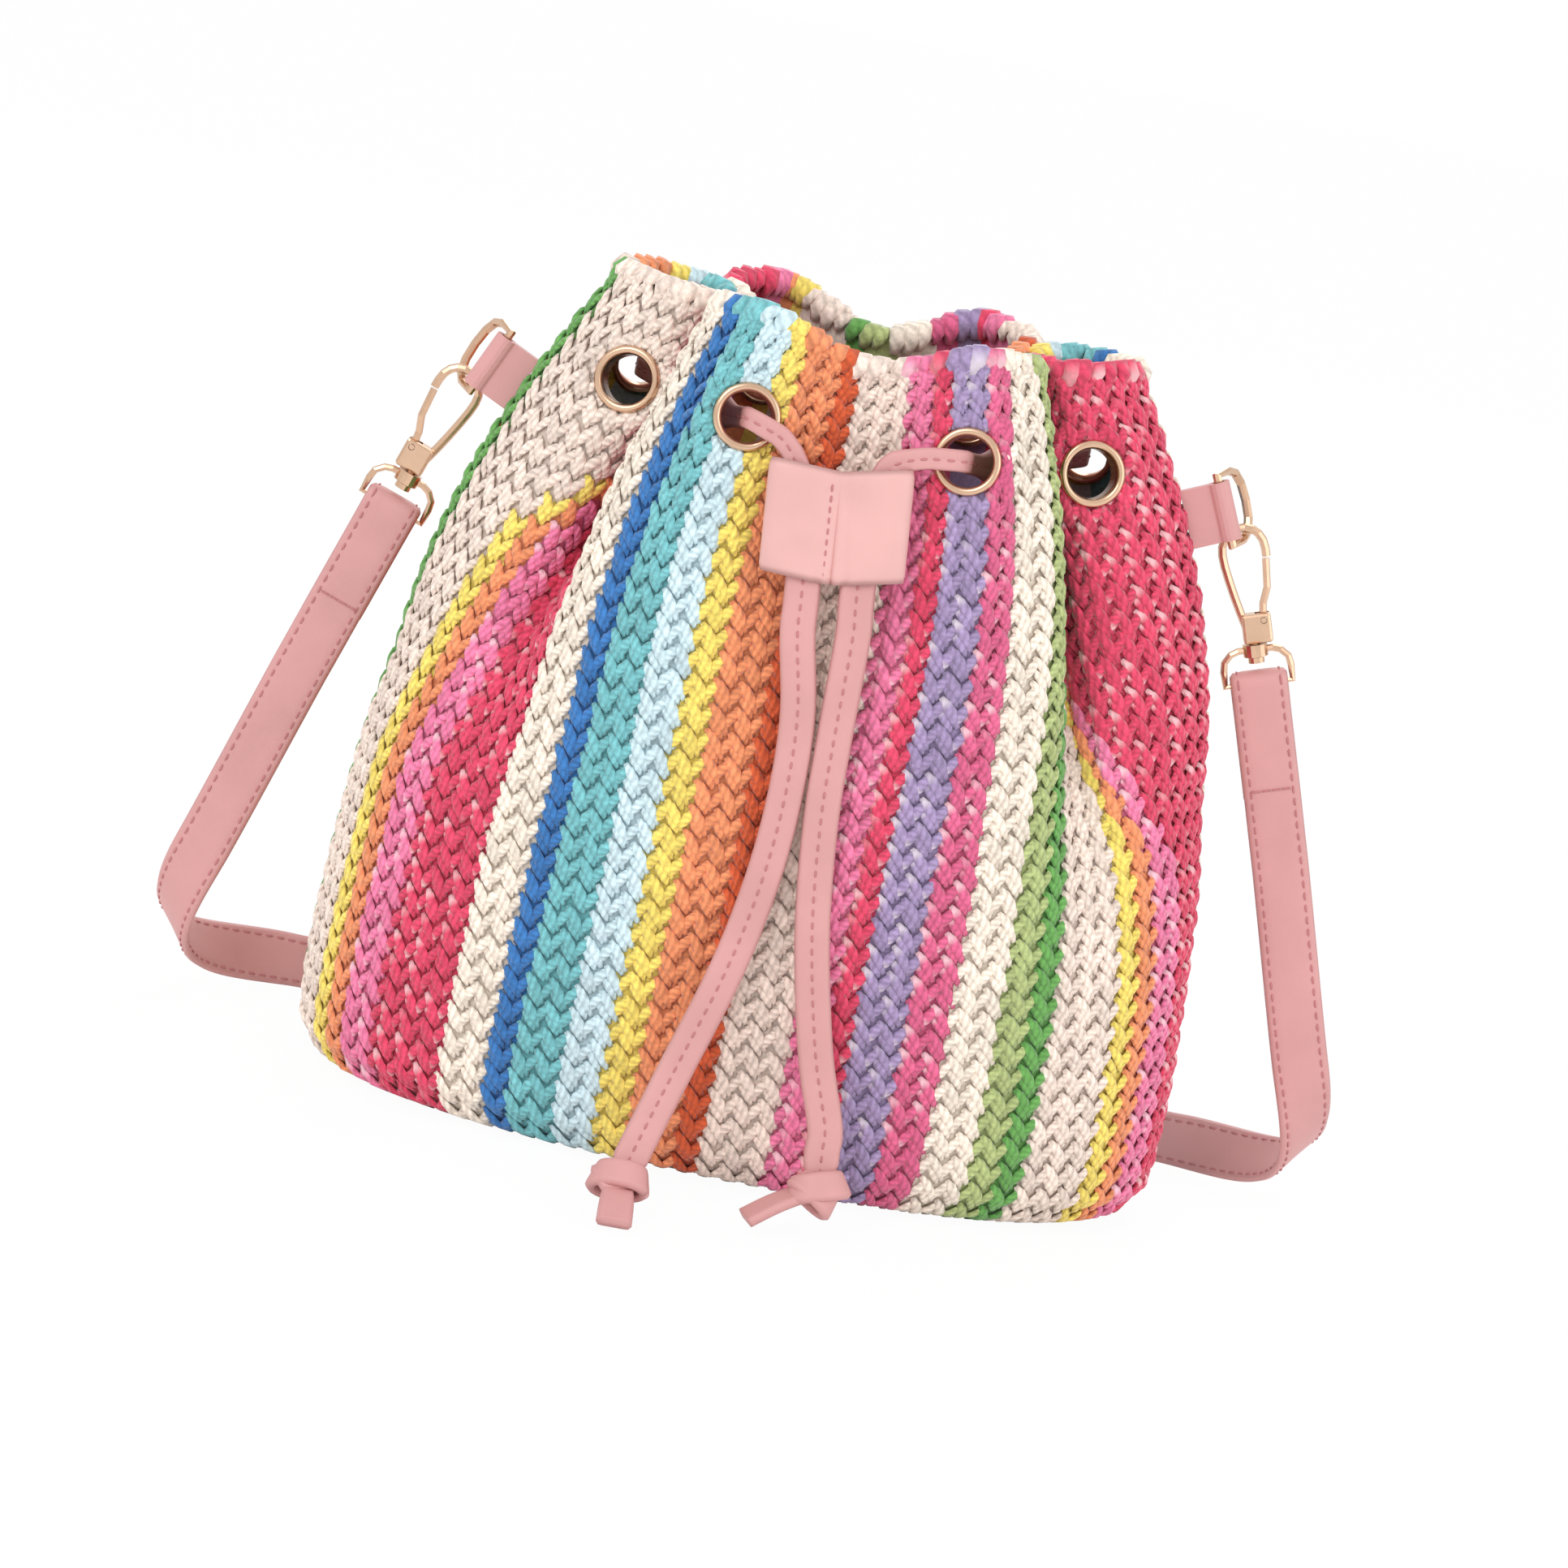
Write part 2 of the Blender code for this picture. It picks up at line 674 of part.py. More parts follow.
def stations_of(points, hints):
    """Stations of a band through points, with its width as near each hint as its run allows."""
    stations = []
    for i, point in enumerate(points):
        before, after = points[max(i - 1, 0)], points[min(i + 1, len(points) - 1)]
        run = (Vector(after) - Vector(before)).normalized()
        hint = Vector(hints[i])
        stations.append((Vector(point), (hint - hint.dot(run) * run).normalized()))
    return stations


def through_eyelet(eyelet, toward):
    """Points from outside to inside through an eyelet, for a cord that comes from toward."""
    _, centre, normal = eyelet
    centre, normal = Vector(centre), Vector(normal)
    aside = Vector(toward) - centre
    aside = (aside - aside.dot(normal) * normal).normalized()
    return [
        centre + normal * CORD_REACH + aside * EYELET_FLANGE,
        centre + normal * CORD_REACH * 0.9 + aside * 0.0045,
        centre + normal * CORD_REACH * 0.4 + aside * 0.0012,
        *(centre - normal * depth for depth in EYELET_DEPTHS),
    ]


def pinched(point):
    """Share of its width that the cord keeps at a place: less where an eyelet squeezes it."""
    near = min((point - Vector(centre)).length for _, centre, _ in EYELETS)
    return CORD_PINCH + (1 - CORD_PINCH) * smooth_step((near - PINCH_REACH) / PINCH_REACH)


def channel_run(side):
    """The cord's stations in one channel, from the foot up, leaning out towards the top."""
    points = [slider_place(side * x, z) for x, z in CHANNEL_RUN]
    across = slider_frame().to_3x3() @ Vector((1, 0, 0))
    return stations_of(points, [across] * len(points))


def cord_side(side):
    """The drawcord's stations on one side, from the slider's foot to behind the back."""
    channel = channel_run(side)
    order = (1, 7, 6) if side < 0 else (2, 4, 5)
    front, lobe, rear = (EYELETS[i] for i in order)
    top = channel[-1][0]
    entry = through_eyelet(front, top + Vector((0, 0, CORD_RISE)))
    rise = (top - channel[-2][0]).normalized() * CORD_LIFT
    run_in = (entry[1] - entry[0]).normalized() * CORD_DRAW
    across = bend(top, rise, entry[0], run_in, 7)[1:-1]
    inside = [Vector((side * x, y, EYELET_HEIGHT - CORD_DIP)) for x, y in CORD_INSIDE]
    out_again = through_eyelet(lobe, rear[1])[::-1]
    outside = [Vector((side * x, y, EYELET_HEIGHT)) for x, y in CORD_OUTSIDE]
    in_again = through_eyelet(rear, lobe[1])
    behind = [Vector((side * x, y, EYELET_HEIGHT - CORD_DIP)) for x, y in CORD_BEHIND]
    loop = curve_points([tuple(p) for p in entry + inside + out_again + outside + in_again + behind], 66)
    front_face = Vector((0, -1, 0))
    flat = [Vector(after - before).cross(front_face) for before, after in zip([top, *across], across + entry)]
    stations = channel + stations_of([top, *across, *map(Vector, loop)], flat + [(0, 0, -side)] * len(loop))[1:]
    return [(point, wide * pinched(point)) for point, wide in stations]


def add_drawcord(where, look):
    """The cord's fixed run: up one channel, round the mouth through the eyelets, down the other."""
    left, right = cord_side(-1), cord_side(1)
    back = [(point, -across) for point, across in right[-2::-1]]
    return band("drawcord", left + back, CORD_WIDTH, CORD_THICKNESS, where, look)


def tail_stations(side, route, knot):
    """The hanging tail from the slider's foot to its knot, straight at first."""
    half = SLIDER_HEIGHT / 2 + GAP
    start = [slider_place(side * FOOT_SPREAD, -half - drop) for drop in (0, SLIDE_RUN / 2, SLIDE_RUN)]
    last, middle = Vector(route[-1]), Vector(knot)
    axis = (last - middle).normalized()
    end = middle + axis * (KNOT_RADIUS * KNOT_FLATNESS + 2 * GAP)
    points = curve_points([tuple(p) for p in (*start, *route, end + axis * 0.003, end)], 30)
    across = slider_frame().to_3x3() @ Vector((1, 0, 0))
    return stations_of(points, [across] * len(points))


def add_knot(name, centre, tip, tail_end, where, look):
    """Overhand knot at a tail's end: a lump of turns with the cord's cut end sticking out."""
    centre, tip, tail_end = Vector(centre), Vector(tip), Vector(tail_end)
    lump = bmesh.new()
    bmesh.ops.create_uvsphere(lump, u_segments=12, v_segments=8, radius=KNOT_RADIUS)
    mesh = bpy.data.meshes.new(name)
    lump.to_mesh(mesh)
    lump.free()
    place = upright_frame(centre, centre - tail_end)
    mesh.transform(place @ Matrix.Diagonal((1, KNOT_FLATNESS, KNOT_FLATNESS, 1)))
    knot = add_object(name, mesh, where, look)
    level = Vector((0, 0, 1)).cross(tip - centre)
    stations = stations_of([centre, centre.lerp(tip, 0.5), tip], [level] * 3)
    end = finished_mesh(band("tip", stations, CORD_WIDTH, CORD_THICKNESS, where, None))
    combine(knot, add_object("tip", end, where), "UNION")


def add_tails(where, look):
    for name, side, route, (centre, tip) in (
        ("left", -1, TAIL_LEFT, KNOT_LEFT),
        ("right", 1, TAIL_RIGHT, KNOT_RIGHT),
    ):
        stations = tail_stations(side, route, centre)
        band(f"cord_tail_{name}", stations, CORD_WIDTH, CORD_THICKNESS, where, look)
        add_knot(f"cord_knot_{name}", centre, tip, stations[-1][0], where, look)


# Side tabs and D-rings

def side_frame(side):
    """Frame on a side seam: X out from the bag, Z up along the seam."""
    column = 0 if side < 0 else COLUMNS
    share = TAB_HEIGHT / BAG_HEIGHT
    foot, at, top = (Vector(wall(column, share + step)) for step in (-0.03, 0, 0.03))
    foot.y = at.y = top.y = 0
    up = (top - foot).normalized()
    return frame_at(at, (side * up.z, 0, -side * up.x), up)


def ring_frame(side):
    """The D-ring's frame: Z along its bar, X towards its bow, swung to the back."""
    seam = side_frame(side)
    out, up = seam.col[0].to_3d(), seam.col[2].to_3d()
    bow = out * math.cos(RING_TURN) + Vector((0, 1, 0)) * math.sin(RING_TURN)
    return frame_at(seam @ Vector((TAB_REACH, 0, 0)), bow, up)


def add_tab(name, side, where, look):
    """Leather folded round the D-ring's bar and sewn into the side seam."""
    inner = RING_WIRE + GAP
    outer = inner + TAB_LEATHER
    start = math.asin(TAB_LEATHER / outer)
    turn = [math.pi - start - i * (2 * math.pi - 2 * start) / 14 for i in range(15)]
    loop = [(TAB_REACH + outer * math.cos(a), outer * math.sin(a)) for a in turn]
    outline = [(2 * GAP, TAB_LEATHER), *loop, (2 * GAP, -TAB_LEATHER)]
    bore = [
        (TAB_REACH + inner * math.cos(a), inner * math.sin(a))
        for a in np.linspace(0, 2 * math.pi, 12, endpoint=False)
    ]
    tab = flat_outline(name, [outline, bore], TAB_WIDTH, where, look)
    tab.matrix_world = side_frame(side)
    return tab


def add_ring(name, side, where, look):
    """D-ring: a straight bar with square corners and a round bow."""
    bar, deep = RING_HALF_BAR, RING_DEPTH
    half = [(0, bar), (HANG, bar), (0.80 * deep, 0.84 * bar), (0.95 * deep, 0.50 * bar)]
    path = half + [(deep, 0)] + [(x, -z) for x, z in reversed(half)]
    points = [(x, 0, z) for x, z in path]
    ring = wire(name, points, RING_WIRE, where, look, closed=True)
    ring.matrix_world = ring_frame(side)
    return ring


# Snap hooks and swivel loops

BOW = (
    (-0.26, 0.21), (-0.48, 0.34), (-0.77, 0.55), (-0.98, 0.75), (-0.95, 0.875),
    (-0.55, 0.970), (0.05, 1.000), (0.62, 0.965), (0.95, 0.875), (1.00, 0.760),
)  # share of the bow's half width, of the hook's height


def hook_frame(side):
    """The hook's frame: Z up its shank, X out from the bag to its gate, hung in the D-ring."""
    ring = ring_frame(side)
    up = Vector((-side * math.sin(HOOK_LEAN), 0, math.cos(HOOK_LEAN)))
    out = Vector((side * math.cos(HOOK_LEAN), 0, math.sin(HOOK_LEAN)))
    hung = ring @ Vector((HANG, 0, -RING_HALF_BAR))
    foot = hung + up * (RING_WIRE + HOOK_WIRE + BOW_CLEARANCE - HOOK_TOP)
    return frame_at(foot, out, up)


def hook_mesh(where):
    """Pear-shaped bow on a slotted block, with the shank and head that turn in the collar."""
    bow = wire(
        "bow", [(x * BOW_HALF_WIDTH, 0, z * HOOK_TOP) for x, z in curve_points(BOW, 17)], HOOK_WIRE, where, None
    )
    foot = COLLAR_HEIGHT + GAP
    deep = BLOCK_HALF_DEPTH
    body = block(
        "block", (-0.0027, -deep, foot), (PIN_OUT + 0.0019, deep, PIN_UP + 0.0018), 0.0007, where
    )
    combine(body, bow, "UNION")
    slot = TONGUE_HALF_DEPTH + GAP
    cut = block(
        "slot", (PIN_OUT - 0.0020, -slot, PIN_UP - 0.0021), (PIN_OUT + 0.0040, slot, PIN_UP + 0.0045), 0, where
    )
    combine(body, cut, "DIFFERENCE")
    pin_hole = cylinder(
        "pin_hole", PIN_RADIUS + 0.0002, 4 * deep, (PIN_OUT, 0, PIN_UP), (0, 1, 0), where, steps=12
    )
    combine(body, pin_hole, "DIFFERENCE")
    low = -GAP - HEAD_HEIGHT
    shank = cylinder(
        "shank", SHANK_RADIUS, foot + 0.0008 - low, (0, 0, (foot + 0.0008 + low) / 2), (0, 0, 1), where, steps=12
    )
    combine(body, shank, "UNION")
    head = cylinder("head", HEAD_RADIUS, HEAD_HEIGHT, (0, 0, low + HEAD_HEIGHT / 2), (0, 0, 1), where)
    combine(body, head, "UNION")
    return finished_mesh(body)


def gate_mesh(where):
    """Sprung gate: an eye on the pin and a wire up to the bow's nose."""
    eye = cylinder(
        "eye", 0.0018, 2 * TONGUE_HALF_DEPTH, (PIN_OUT, 0, PIN_UP), (0, 1, 0), where, steps=16
    )
    nose_x, nose_z = BOW[-1][0] * BOW_HALF_WIDTH, BOW[-1][1] * HOOK_TOP
    lever = wire(
        "lever",
        [
            (PIN_OUT, 0, PIN_UP + 0.0006),
            (PIN_OUT + 0.0004, 0, PIN_UP + 0.0040),
            ((PIN_OUT + nose_x) / 2 + 0.0006, 0, (PIN_UP + nose_z) / 2),
            (nose_x - 0.0002, 0, nose_z - 0.0005),
        ],
        GATE_WIRE, where, None,
    )
    combine(eye, lever, "UNION")
    hole = cylinder("eye_hole", PIN_RADIUS + GAP, 0.01, (PIN_OUT, 0, PIN_UP), (0, 1, 0), where, steps=12)
    combine(eye, hole, "DIFFERENCE")
    return finished_mesh(eye)


def swivel_mesh(where):
    """Collar that the hook's shank turns in, on a D-shaped wire for the strap's end."""
    half = STRAP_WIDTH / 2 + GAP + LOOP_WIRE + 0.0001
    right = [
        (0.0024, 0.0016), (0.0044, 0.0016), (0.0064, 0.0009),
        (half - 0.0004, -0.0010), (half, -0.0034), (half, -LOOP_DROP),
    ]
    path = right + [(-x, z) for x, z in reversed(right)]
    loop = wire("loop", [(x, 0, z) for x, z in path], LOOP_WIRE, where, None)
    collar = cylinder(
        "collar", COLLAR_RADIUS, COLLAR_HEIGHT, (0, 0, COLLAR_HEIGHT / 2), (0, 0, 1), where
    )
    combine(collar, loop, "UNION")
    bore = cylinder("bore", SHANK_RADIUS + GAP, 0.02, (0, 0, 0), (0, 0, 1), where, steps=12)
    combine(collar, bore, "DIFFERENCE")
    return finished_mesh(collar)


def add_hardware(where, leather, gold):
    """Tab, D-ring, hook, gate, pin and swivel loop at each side."""
    hook, gate, swivel = hook_mesh(where), gate_mesh(where), swivel_mesh(where)
    for name, side in (("left", -1), ("right", 1)):
        add_tab(f"side_tab_{name}", side, where, leather)
        add_ring(f"d_ring_{name}", side, where, gold)
        place = hook_frame(side)
        pin_place = place @ Matrix.Translation((PIN_OUT, 0, PIN_UP))
        add_object(f"hook_{name}", hook, where, gold).matrix_world = place
        add_object(f"swivel_loop_{name}", swivel, where, gold).matrix_world = place
        gate_piece = add_object(f"gate_{name}", gate.copy(), where, gold)
        gate_piece.data.transform(Matrix.Translation((-PIN_OUT, 0, -PIN_UP)))
        gate_piece.matrix_world = pin_place
        pin = cylinder(
            f"gate_pin_{name}", PIN_RADIUS, 2 * BLOCK_HALF_DEPTH - 0.0002, (0, 0, 0), (0, 1, 0), where, gold, 12
        )
        pin.matrix_world = pin_place


# Shoulder strap

def strap_fold(frame):
    """Stations of the strap's end: up behind, round the swivel loop's bar and down in front."""
    layer = STRAP_THICKNESS / 2 + 0.00025
    around = LOOP_WIRE + GAP + STRAP_THICKNESS / 2
    up_behind = [(layer, -STRAP_FOLD), (layer, -0.6 * STRAP_FOLD), (layer, -0.28 * STRAP_FOLD)]
    up_behind += [(0.82 * around, -0.0036)]
    turn = [(around * math.cos(a), around * math.sin(a)) for a in np.linspace(-0.15, math.pi + 0.15, 8)]
    down_front = [(-y, z) for y, z in reversed(up_behind)]
    path = up_behind + turn + down_front + [(-0.3 * layer, -1.25 * STRAP_FOLD)]
    out = frame.col[0].to_3d()
    back = Vector((0, 1, 0))
    up = frame.col[2].to_3d()
    bar = frame @ Vector((0, 0, -LOOP_DROP))
    return [(bar + back * y + up * z, out) for y, z in path]


def behind_bag(column):
    """Place of the strap's middle where it lies on its edge behind the bag, at a column."""
    half = np.array([BASE_WIDTH / 2, BASE_DEPTH / 2])
    here, ahead = oval(column) * half, oval(column + 0.1) * half
    run = (ahead - here) / np.linalg.norm(ahead - here)
    x, y = here + np.array([run[1], -run[0]]) * STRAP_BEHIND
    return Vector((x, y, STRAP_WIDTH / 2 + 2 * GAP))


def strap_turn(start_y, floor):
    """Stations of the turn that brings the leaning strap round and level behind the bag."""
    run_in = Vector((math.sin(STRAP_LEAN), 0, -math.cos(STRAP_LEAN)))
    run_out = Vector((-1, 0, 0))
    back = Vector((0, 1, 0))
    axis, side = (run_in + run_out).normalized(), (run_in - run_out).normalized()
    climb = run_in.dot(axis) / run_in.dot(side)
    widest = math.acos(-axis.x * climb / side.x)
    bulge = WRAP_RADIUS * (side.x * math.sin(widest) + axis.x * climb * widest)
    fall = -axis.z * WRAP_RADIUS * climb * math.pi
    middle = Vector((STRAP_OUT - bulge, start_y, floor + fall)) + back * WRAP_RADIUS
    stations = []
    for a in np.linspace(0, math.pi, 17):
        round_it = back * math.sin(a) + side * math.cos(a)
        point = middle + WRAP_RADIUS * (side * math.sin(a) - back * math.cos(a) + axis * climb * a)
        stations.append((point, (round_it * climb - axis).normalized()))
    return stations


def strap_half():
    """Stations of the right half, from the sewn end down, round the turn and to the back."""
    frame = hook_frame(1)
    stations = strap_fold(frame)
    upright = frame.col[2].to_3d()
    start = stations[-1][0] - upright * STRAP_LEAD
    start.y = frame.translation.y
    turn = strap_turn(start.y, STRAP_WIDTH / 2 + 2 * GAP)
    end_run = Vector((math.sin(STRAP_LEAN), 0, -math.cos(STRAP_LEAN))) * STRAP_PULL
    straight = bend(start, -upright * STRAP_PULL, turn[0][0], end_run, 14)
    for i, point in enumerate(straight[:-1]):
        run = (straight[i + 1] - straight[max(i - 1, 0)]).normalized()
        stations.append((point, Vector((-run.z, 0, run.x)).normalized()))
    stations += turn
    meets = behind_bag(COLUMNS + STRAP_MEETS)
    run = (behind_bag(COLUMNS + STRAP_MEETS + 0.2) - meets).normalized()
    up = Vector((0, 0, 1))
    to_bag = bend(turn[-1][0], Vector((-STRAP_PULL, 0, 0)), meets, run * STRAP_PULL, 8)
    stations += [(p, up) for p in to_bag[1:]]
    at_back = np.linspace(COLUMNS + STRAP_MEETS, 1.5 * COLUMNS, 8)
    stations += [(behind_bag(c), up) for c in at_back[1:]]
    return stations


def add_strap(where, look):
    """One stitched strap from hook to hook, round behind the bag."""
    right = strap_half()
    flip = Vector((-1, 1, 1))
    left = [(p * flip, across * flip) for p, across in right]
    return band("shoulder_strap", left + right[-2::-1], STRAP_WIDTH, STRAP_THICKNESS, where, look)


def build():
    clear_scene()
    bag = collection("drawstring_bucket_bag")
    cutters = collection("cutters")
    leather = material("faux_leather", LEATHER, 0.55)
    slider_leather = material("slider_leather", SLIDER_LEATHER, 0.5)
    gold = material("pale_gold", GOLD, 0.28, 1.0)
    yarns = [material(f"yarn_{name}", colour, 0.85) for name, colour in YARN.items()]
    lining = yarns[list(YARN).index("beige")]
    front = add_panel("front_panel", 0, bag, yarns)
    back = add_panel("back_panel", COLUMNS, bag, yarns)
    add_base(bag, lining)
    add_eyelets(bag, cutters, gold, (front, back))
    add_slider(bag, slider_leather)
    add_drawcord(bag, leather)
    add_tails(bag, leather)
    add_hardware(bag, leather, gold)
    add_strap(bag, leather)


build()
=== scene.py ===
"""Look of the striped crochet-look drawstring bucket bag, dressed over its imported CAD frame.

Metres, +Z up, in the CAD's own frame: the bag stands on z = 0 and faces -Y. The first half
repeats the source's sizes and shape functions, but hangs the strap a little wider and draws the
cord closer to the slider. The second half adds what they lack: stitches, sewn leather, finer
eyelets, camera and light.
"""

import json
import math

import bmesh
import bpy
import numpy as np
from mathutils import Matrix, Vector

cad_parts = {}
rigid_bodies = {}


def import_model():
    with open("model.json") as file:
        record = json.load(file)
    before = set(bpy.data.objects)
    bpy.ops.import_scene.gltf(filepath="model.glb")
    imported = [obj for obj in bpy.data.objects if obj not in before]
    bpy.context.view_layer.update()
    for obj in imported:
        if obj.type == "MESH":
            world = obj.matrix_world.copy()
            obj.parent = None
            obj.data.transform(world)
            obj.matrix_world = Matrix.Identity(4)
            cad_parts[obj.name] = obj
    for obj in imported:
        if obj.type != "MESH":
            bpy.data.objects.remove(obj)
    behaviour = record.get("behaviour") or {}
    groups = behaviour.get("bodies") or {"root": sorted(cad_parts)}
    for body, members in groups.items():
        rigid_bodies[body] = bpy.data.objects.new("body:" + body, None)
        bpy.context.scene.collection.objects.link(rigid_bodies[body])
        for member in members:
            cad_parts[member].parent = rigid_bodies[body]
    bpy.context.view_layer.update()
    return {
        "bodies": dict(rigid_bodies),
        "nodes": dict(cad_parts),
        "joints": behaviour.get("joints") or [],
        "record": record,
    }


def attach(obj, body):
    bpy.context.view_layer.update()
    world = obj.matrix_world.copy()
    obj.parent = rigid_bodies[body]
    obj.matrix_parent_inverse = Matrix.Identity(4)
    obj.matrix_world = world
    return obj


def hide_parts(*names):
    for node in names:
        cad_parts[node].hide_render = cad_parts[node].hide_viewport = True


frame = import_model()

# Body: a fabric tube of stitch columns on an oval base, gathered into four lobes at the mouth
BASE_WIDTH = 0.224
BASE_DEPTH = 0.120
BAG_HEIGHT = 0.215
FABRIC = 0.003
COLUMNS = 45  # stitch columns in each panel, counted from the left seam round the front
GAP = 0.0003  # between pieces that touch
SEAM_GAP = 0.0008
FOOT_LIFT = 0.0008  # of the wall's outer edge, whose inner edge is lower
OVAL_POWER = 2.3
FOLD_FOOT_LEFT = 0.080  # height at which the folds start, at each side
FOLD_FOOT_RIGHT = 0.055

# Share of the height, of the half width and of the half depth, from the foot to the rim
PROFILE = (
    (0.000, 0.893, 0.800),
    (0.013, 0.950, 0.905),
    (0.045, 0.993, 0.985),
    (0.140, 1.000, 1.000),
    (0.285, 0.985, 1.000),
    (0.405, 0.964, 1.000),
    (0.495, 0.933, 0.990),
    (0.620, 0.898, 0.965),
    (0.745, 0.830, 0.920),
    (0.845, 0.750, 0.870),
    (0.930, 0.665, 0.820),
    (1.000, 0.595, 0.790),
)

# The gathered mouth, a quarter of it: stitch column, shares of the half width and half depth
# there, and how much of the height the rim drops
MOUTH = (
    (0.0, 1.000, 0.00, 0.000),
    (2.6, 0.885, 0.32, 0.002),
    (5.0, 0.735, 0.45, 0.008),
    (6.7, 0.625, 0.40, 0.014),
    (8.8, 0.545, 0.14, 0.018),
    (11.6, 0.610, 0.64, 0.006),
    (14.0, 0.490, 0.88, 0.000),
    (17.0, 0.340, 1.00, 0.004),
    (22.5, 0.000, 0.83, 0.040),
)

# Eyelets: a grommet through the wall and a washer behind it
EYELET_COLUMNS = (5.0, 17.0, 28.0, 40.0)
RIM_TO_EYELET = 0.025
EYELET_HEIGHT = BAG_HEIGHT - RIM_TO_EYELET
EYELET_HOLE = 0.0062  # radius of the clear hole
EYELET_WALL = 0.0007
EYELET_FLANGE = 0.0084  # outer radius
EYELET_RISE = 0.0015
WASHER_THICKNESS = 0.0008
WASHER_RADIUS = 0.0077
WASHER_SLACK = 0.0011  # between the washer and the waving fabric
FLAT_RADIUS = 0.0105  # fabric held flat round an eyelet
FLAT_FADE = 0.006
FLAT_COLUMNS = 3.2  # and how many stitch columns that reaches at most

# Drawcord, cord slider and the cord's two tails
CORD_WIDTH = 0.0087
CORD_THICKNESS = 0.0026
SLIDER_WIDTH = 0.0352
SLIDER_HEIGHT = 0.0272
SLIDER_HALF_DEPTH = 0.0031
SLIDER_PINCH = 0.0014
EYELET_TO_SLIDER = 0.0192
SLIDER_CENTRE = (-0.0009, -0.0578, EYELET_HEIGHT - EYELET_TO_SLIDER)
SLIDER_ROLL = math.radians(5.7)
SLIDER_LEAN = math.radians(7.0)
SLIDE_RUN = 0.015  # straight stretch below the slider
KNOT_RADIUS = 0.0072
KNOT_FLATNESS = 0.8
FOOT_SPREAD = 0.0066  # of the tails at the slider's foot, from its middle
CORD_PINCH = 0.62  # share of the cord's width left where it is squeezed
PINCH_REACH = 0.013  # from an eyelet's centre
CORD_RISE = 0.003  # how far above the slider the cord turns out
CORD_REACH = 0.0042  # how far in front of the fabric the cord lies at an eyelet
CORD_DIP = 0.003  # how far below the eyelets' middles the cord runs inside
CORD_LIFT = 0.006  # pull of the curve that leads up out of the slider
CORD_DRAW = 0.004  # and of its end at an eyelet
EYELET_DEPTHS = (0.0030, 0.0080)  # of the cord's points behind an eyelet's face

# The cord in a channel, in the slider's frame; then where it runs inside the mouth, from the
# front eyelet round a fold to the side lobe's, outside to the back eyelet, and inside again
CHANNEL_RUN = (
    (FOOT_SPREAD, -SLIDER_HEIGHT / 2), (FOOT_SPREAD, -0.0100), (0.0073, -0.0040),
    (0.0085, 0.0030), (0.0102, 0.0095), (0.0117, SLIDER_HEIGHT / 2),
)
CORD_INSIDE = ((0.0325, -0.0300), (0.0362, -0.0110), (0.0415, -0.0020), (0.0490, 0.0065))
CORD_OUTSIDE = ((0.0568, 0.0330), (0.0525, 0.0450), (0.0420, 0.0535))
CORD_BEHIND = ((0.0190, 0.0375), (0.0000, 0.0355))

# Each tail's route below the slider, and the knot's middle and its tip's end
TAIL_LEFT = (
    (-0.0004, -0.0622, 0.1197),
    (-0.0003, -0.0650, 0.0914),
    (-0.0046, -0.0670, 0.0620),
    (-0.0128, -0.0740, 0.0330),
    (-0.0172, -0.0822, 0.0185),
)
KNOT_LEFT = ((-0.0205, -0.0900, 0.0079), (-0.0195, -0.1055, 0.0022))
TAIL_RIGHT = (
    (0.0090, -0.0622, 0.1190),
    (0.0098, -0.0645, 0.0990),
    (0.0132, -0.0662, 0.0717),
    (0.0197, -0.0690, 0.0436),
    (0.0256, -0.0733, 0.0268),
)
KNOT_RIGHT = ((0.0270, -0.0790, 0.0125), (0.0110, -0.0850, 0.0035))

# Side tabs, D-rings, snap hooks and swivel loops
RIM_TO_TAB = 0.0355
TAB_HEIGHT = BAG_HEIGHT - RIM_TO_TAB
TAB_WIDTH = 0.015
TAB_REACH = 0.0105  # from the side seam to the D-ring's bar
RING_WIRE = 0.0012  # radius
RING_HALF_BAR = TAB_WIDTH / 2 + RING_WIRE + 0.0004
RING_TURN = math.radians(60)  # how far the ring is swung to the back about its bar
HANG = 0.0060  # where the hook hangs on the ring, from the bar
HOOK_WIRE = 0.0011
HOOK_LEAN = math.radians(19)
HOOK_TOP = 0.0332  # from the collar's foot to the middle of the bow's wire
BOW_CLEARANCE = 0.0009
LOOP_WIRE = 0.0009
LOOP_DROP = 0.0072

# Shoulder strap
STRAP_WIDTH = 0.0146
STRAP_THICKNESS = 0.0024
STRAP_FOLD = 0.030  # length of the end that is folded back and sewn down
STRAP_OUT = 0.1515  # furthest out that the strap's middle reaches, from the bag's middle
STRAP_LEAN = math.radians(19.5)  # of its straight run
STRAP_LEAD = 0.008  # from the sewn end down to where the straight run begins
STRAP_PULL = 0.03  # pull of the curves at their ends
STRAP_MEETS = 12.5  # stitch columns behind the side seam where it comes against the bag
WRAP_RADIUS = 0.020  # of the turn that lays the strap on its edge on the floor
STRAP_BEHIND = 0.0055  # from the bag's foot to the strap's middle, behind the bag

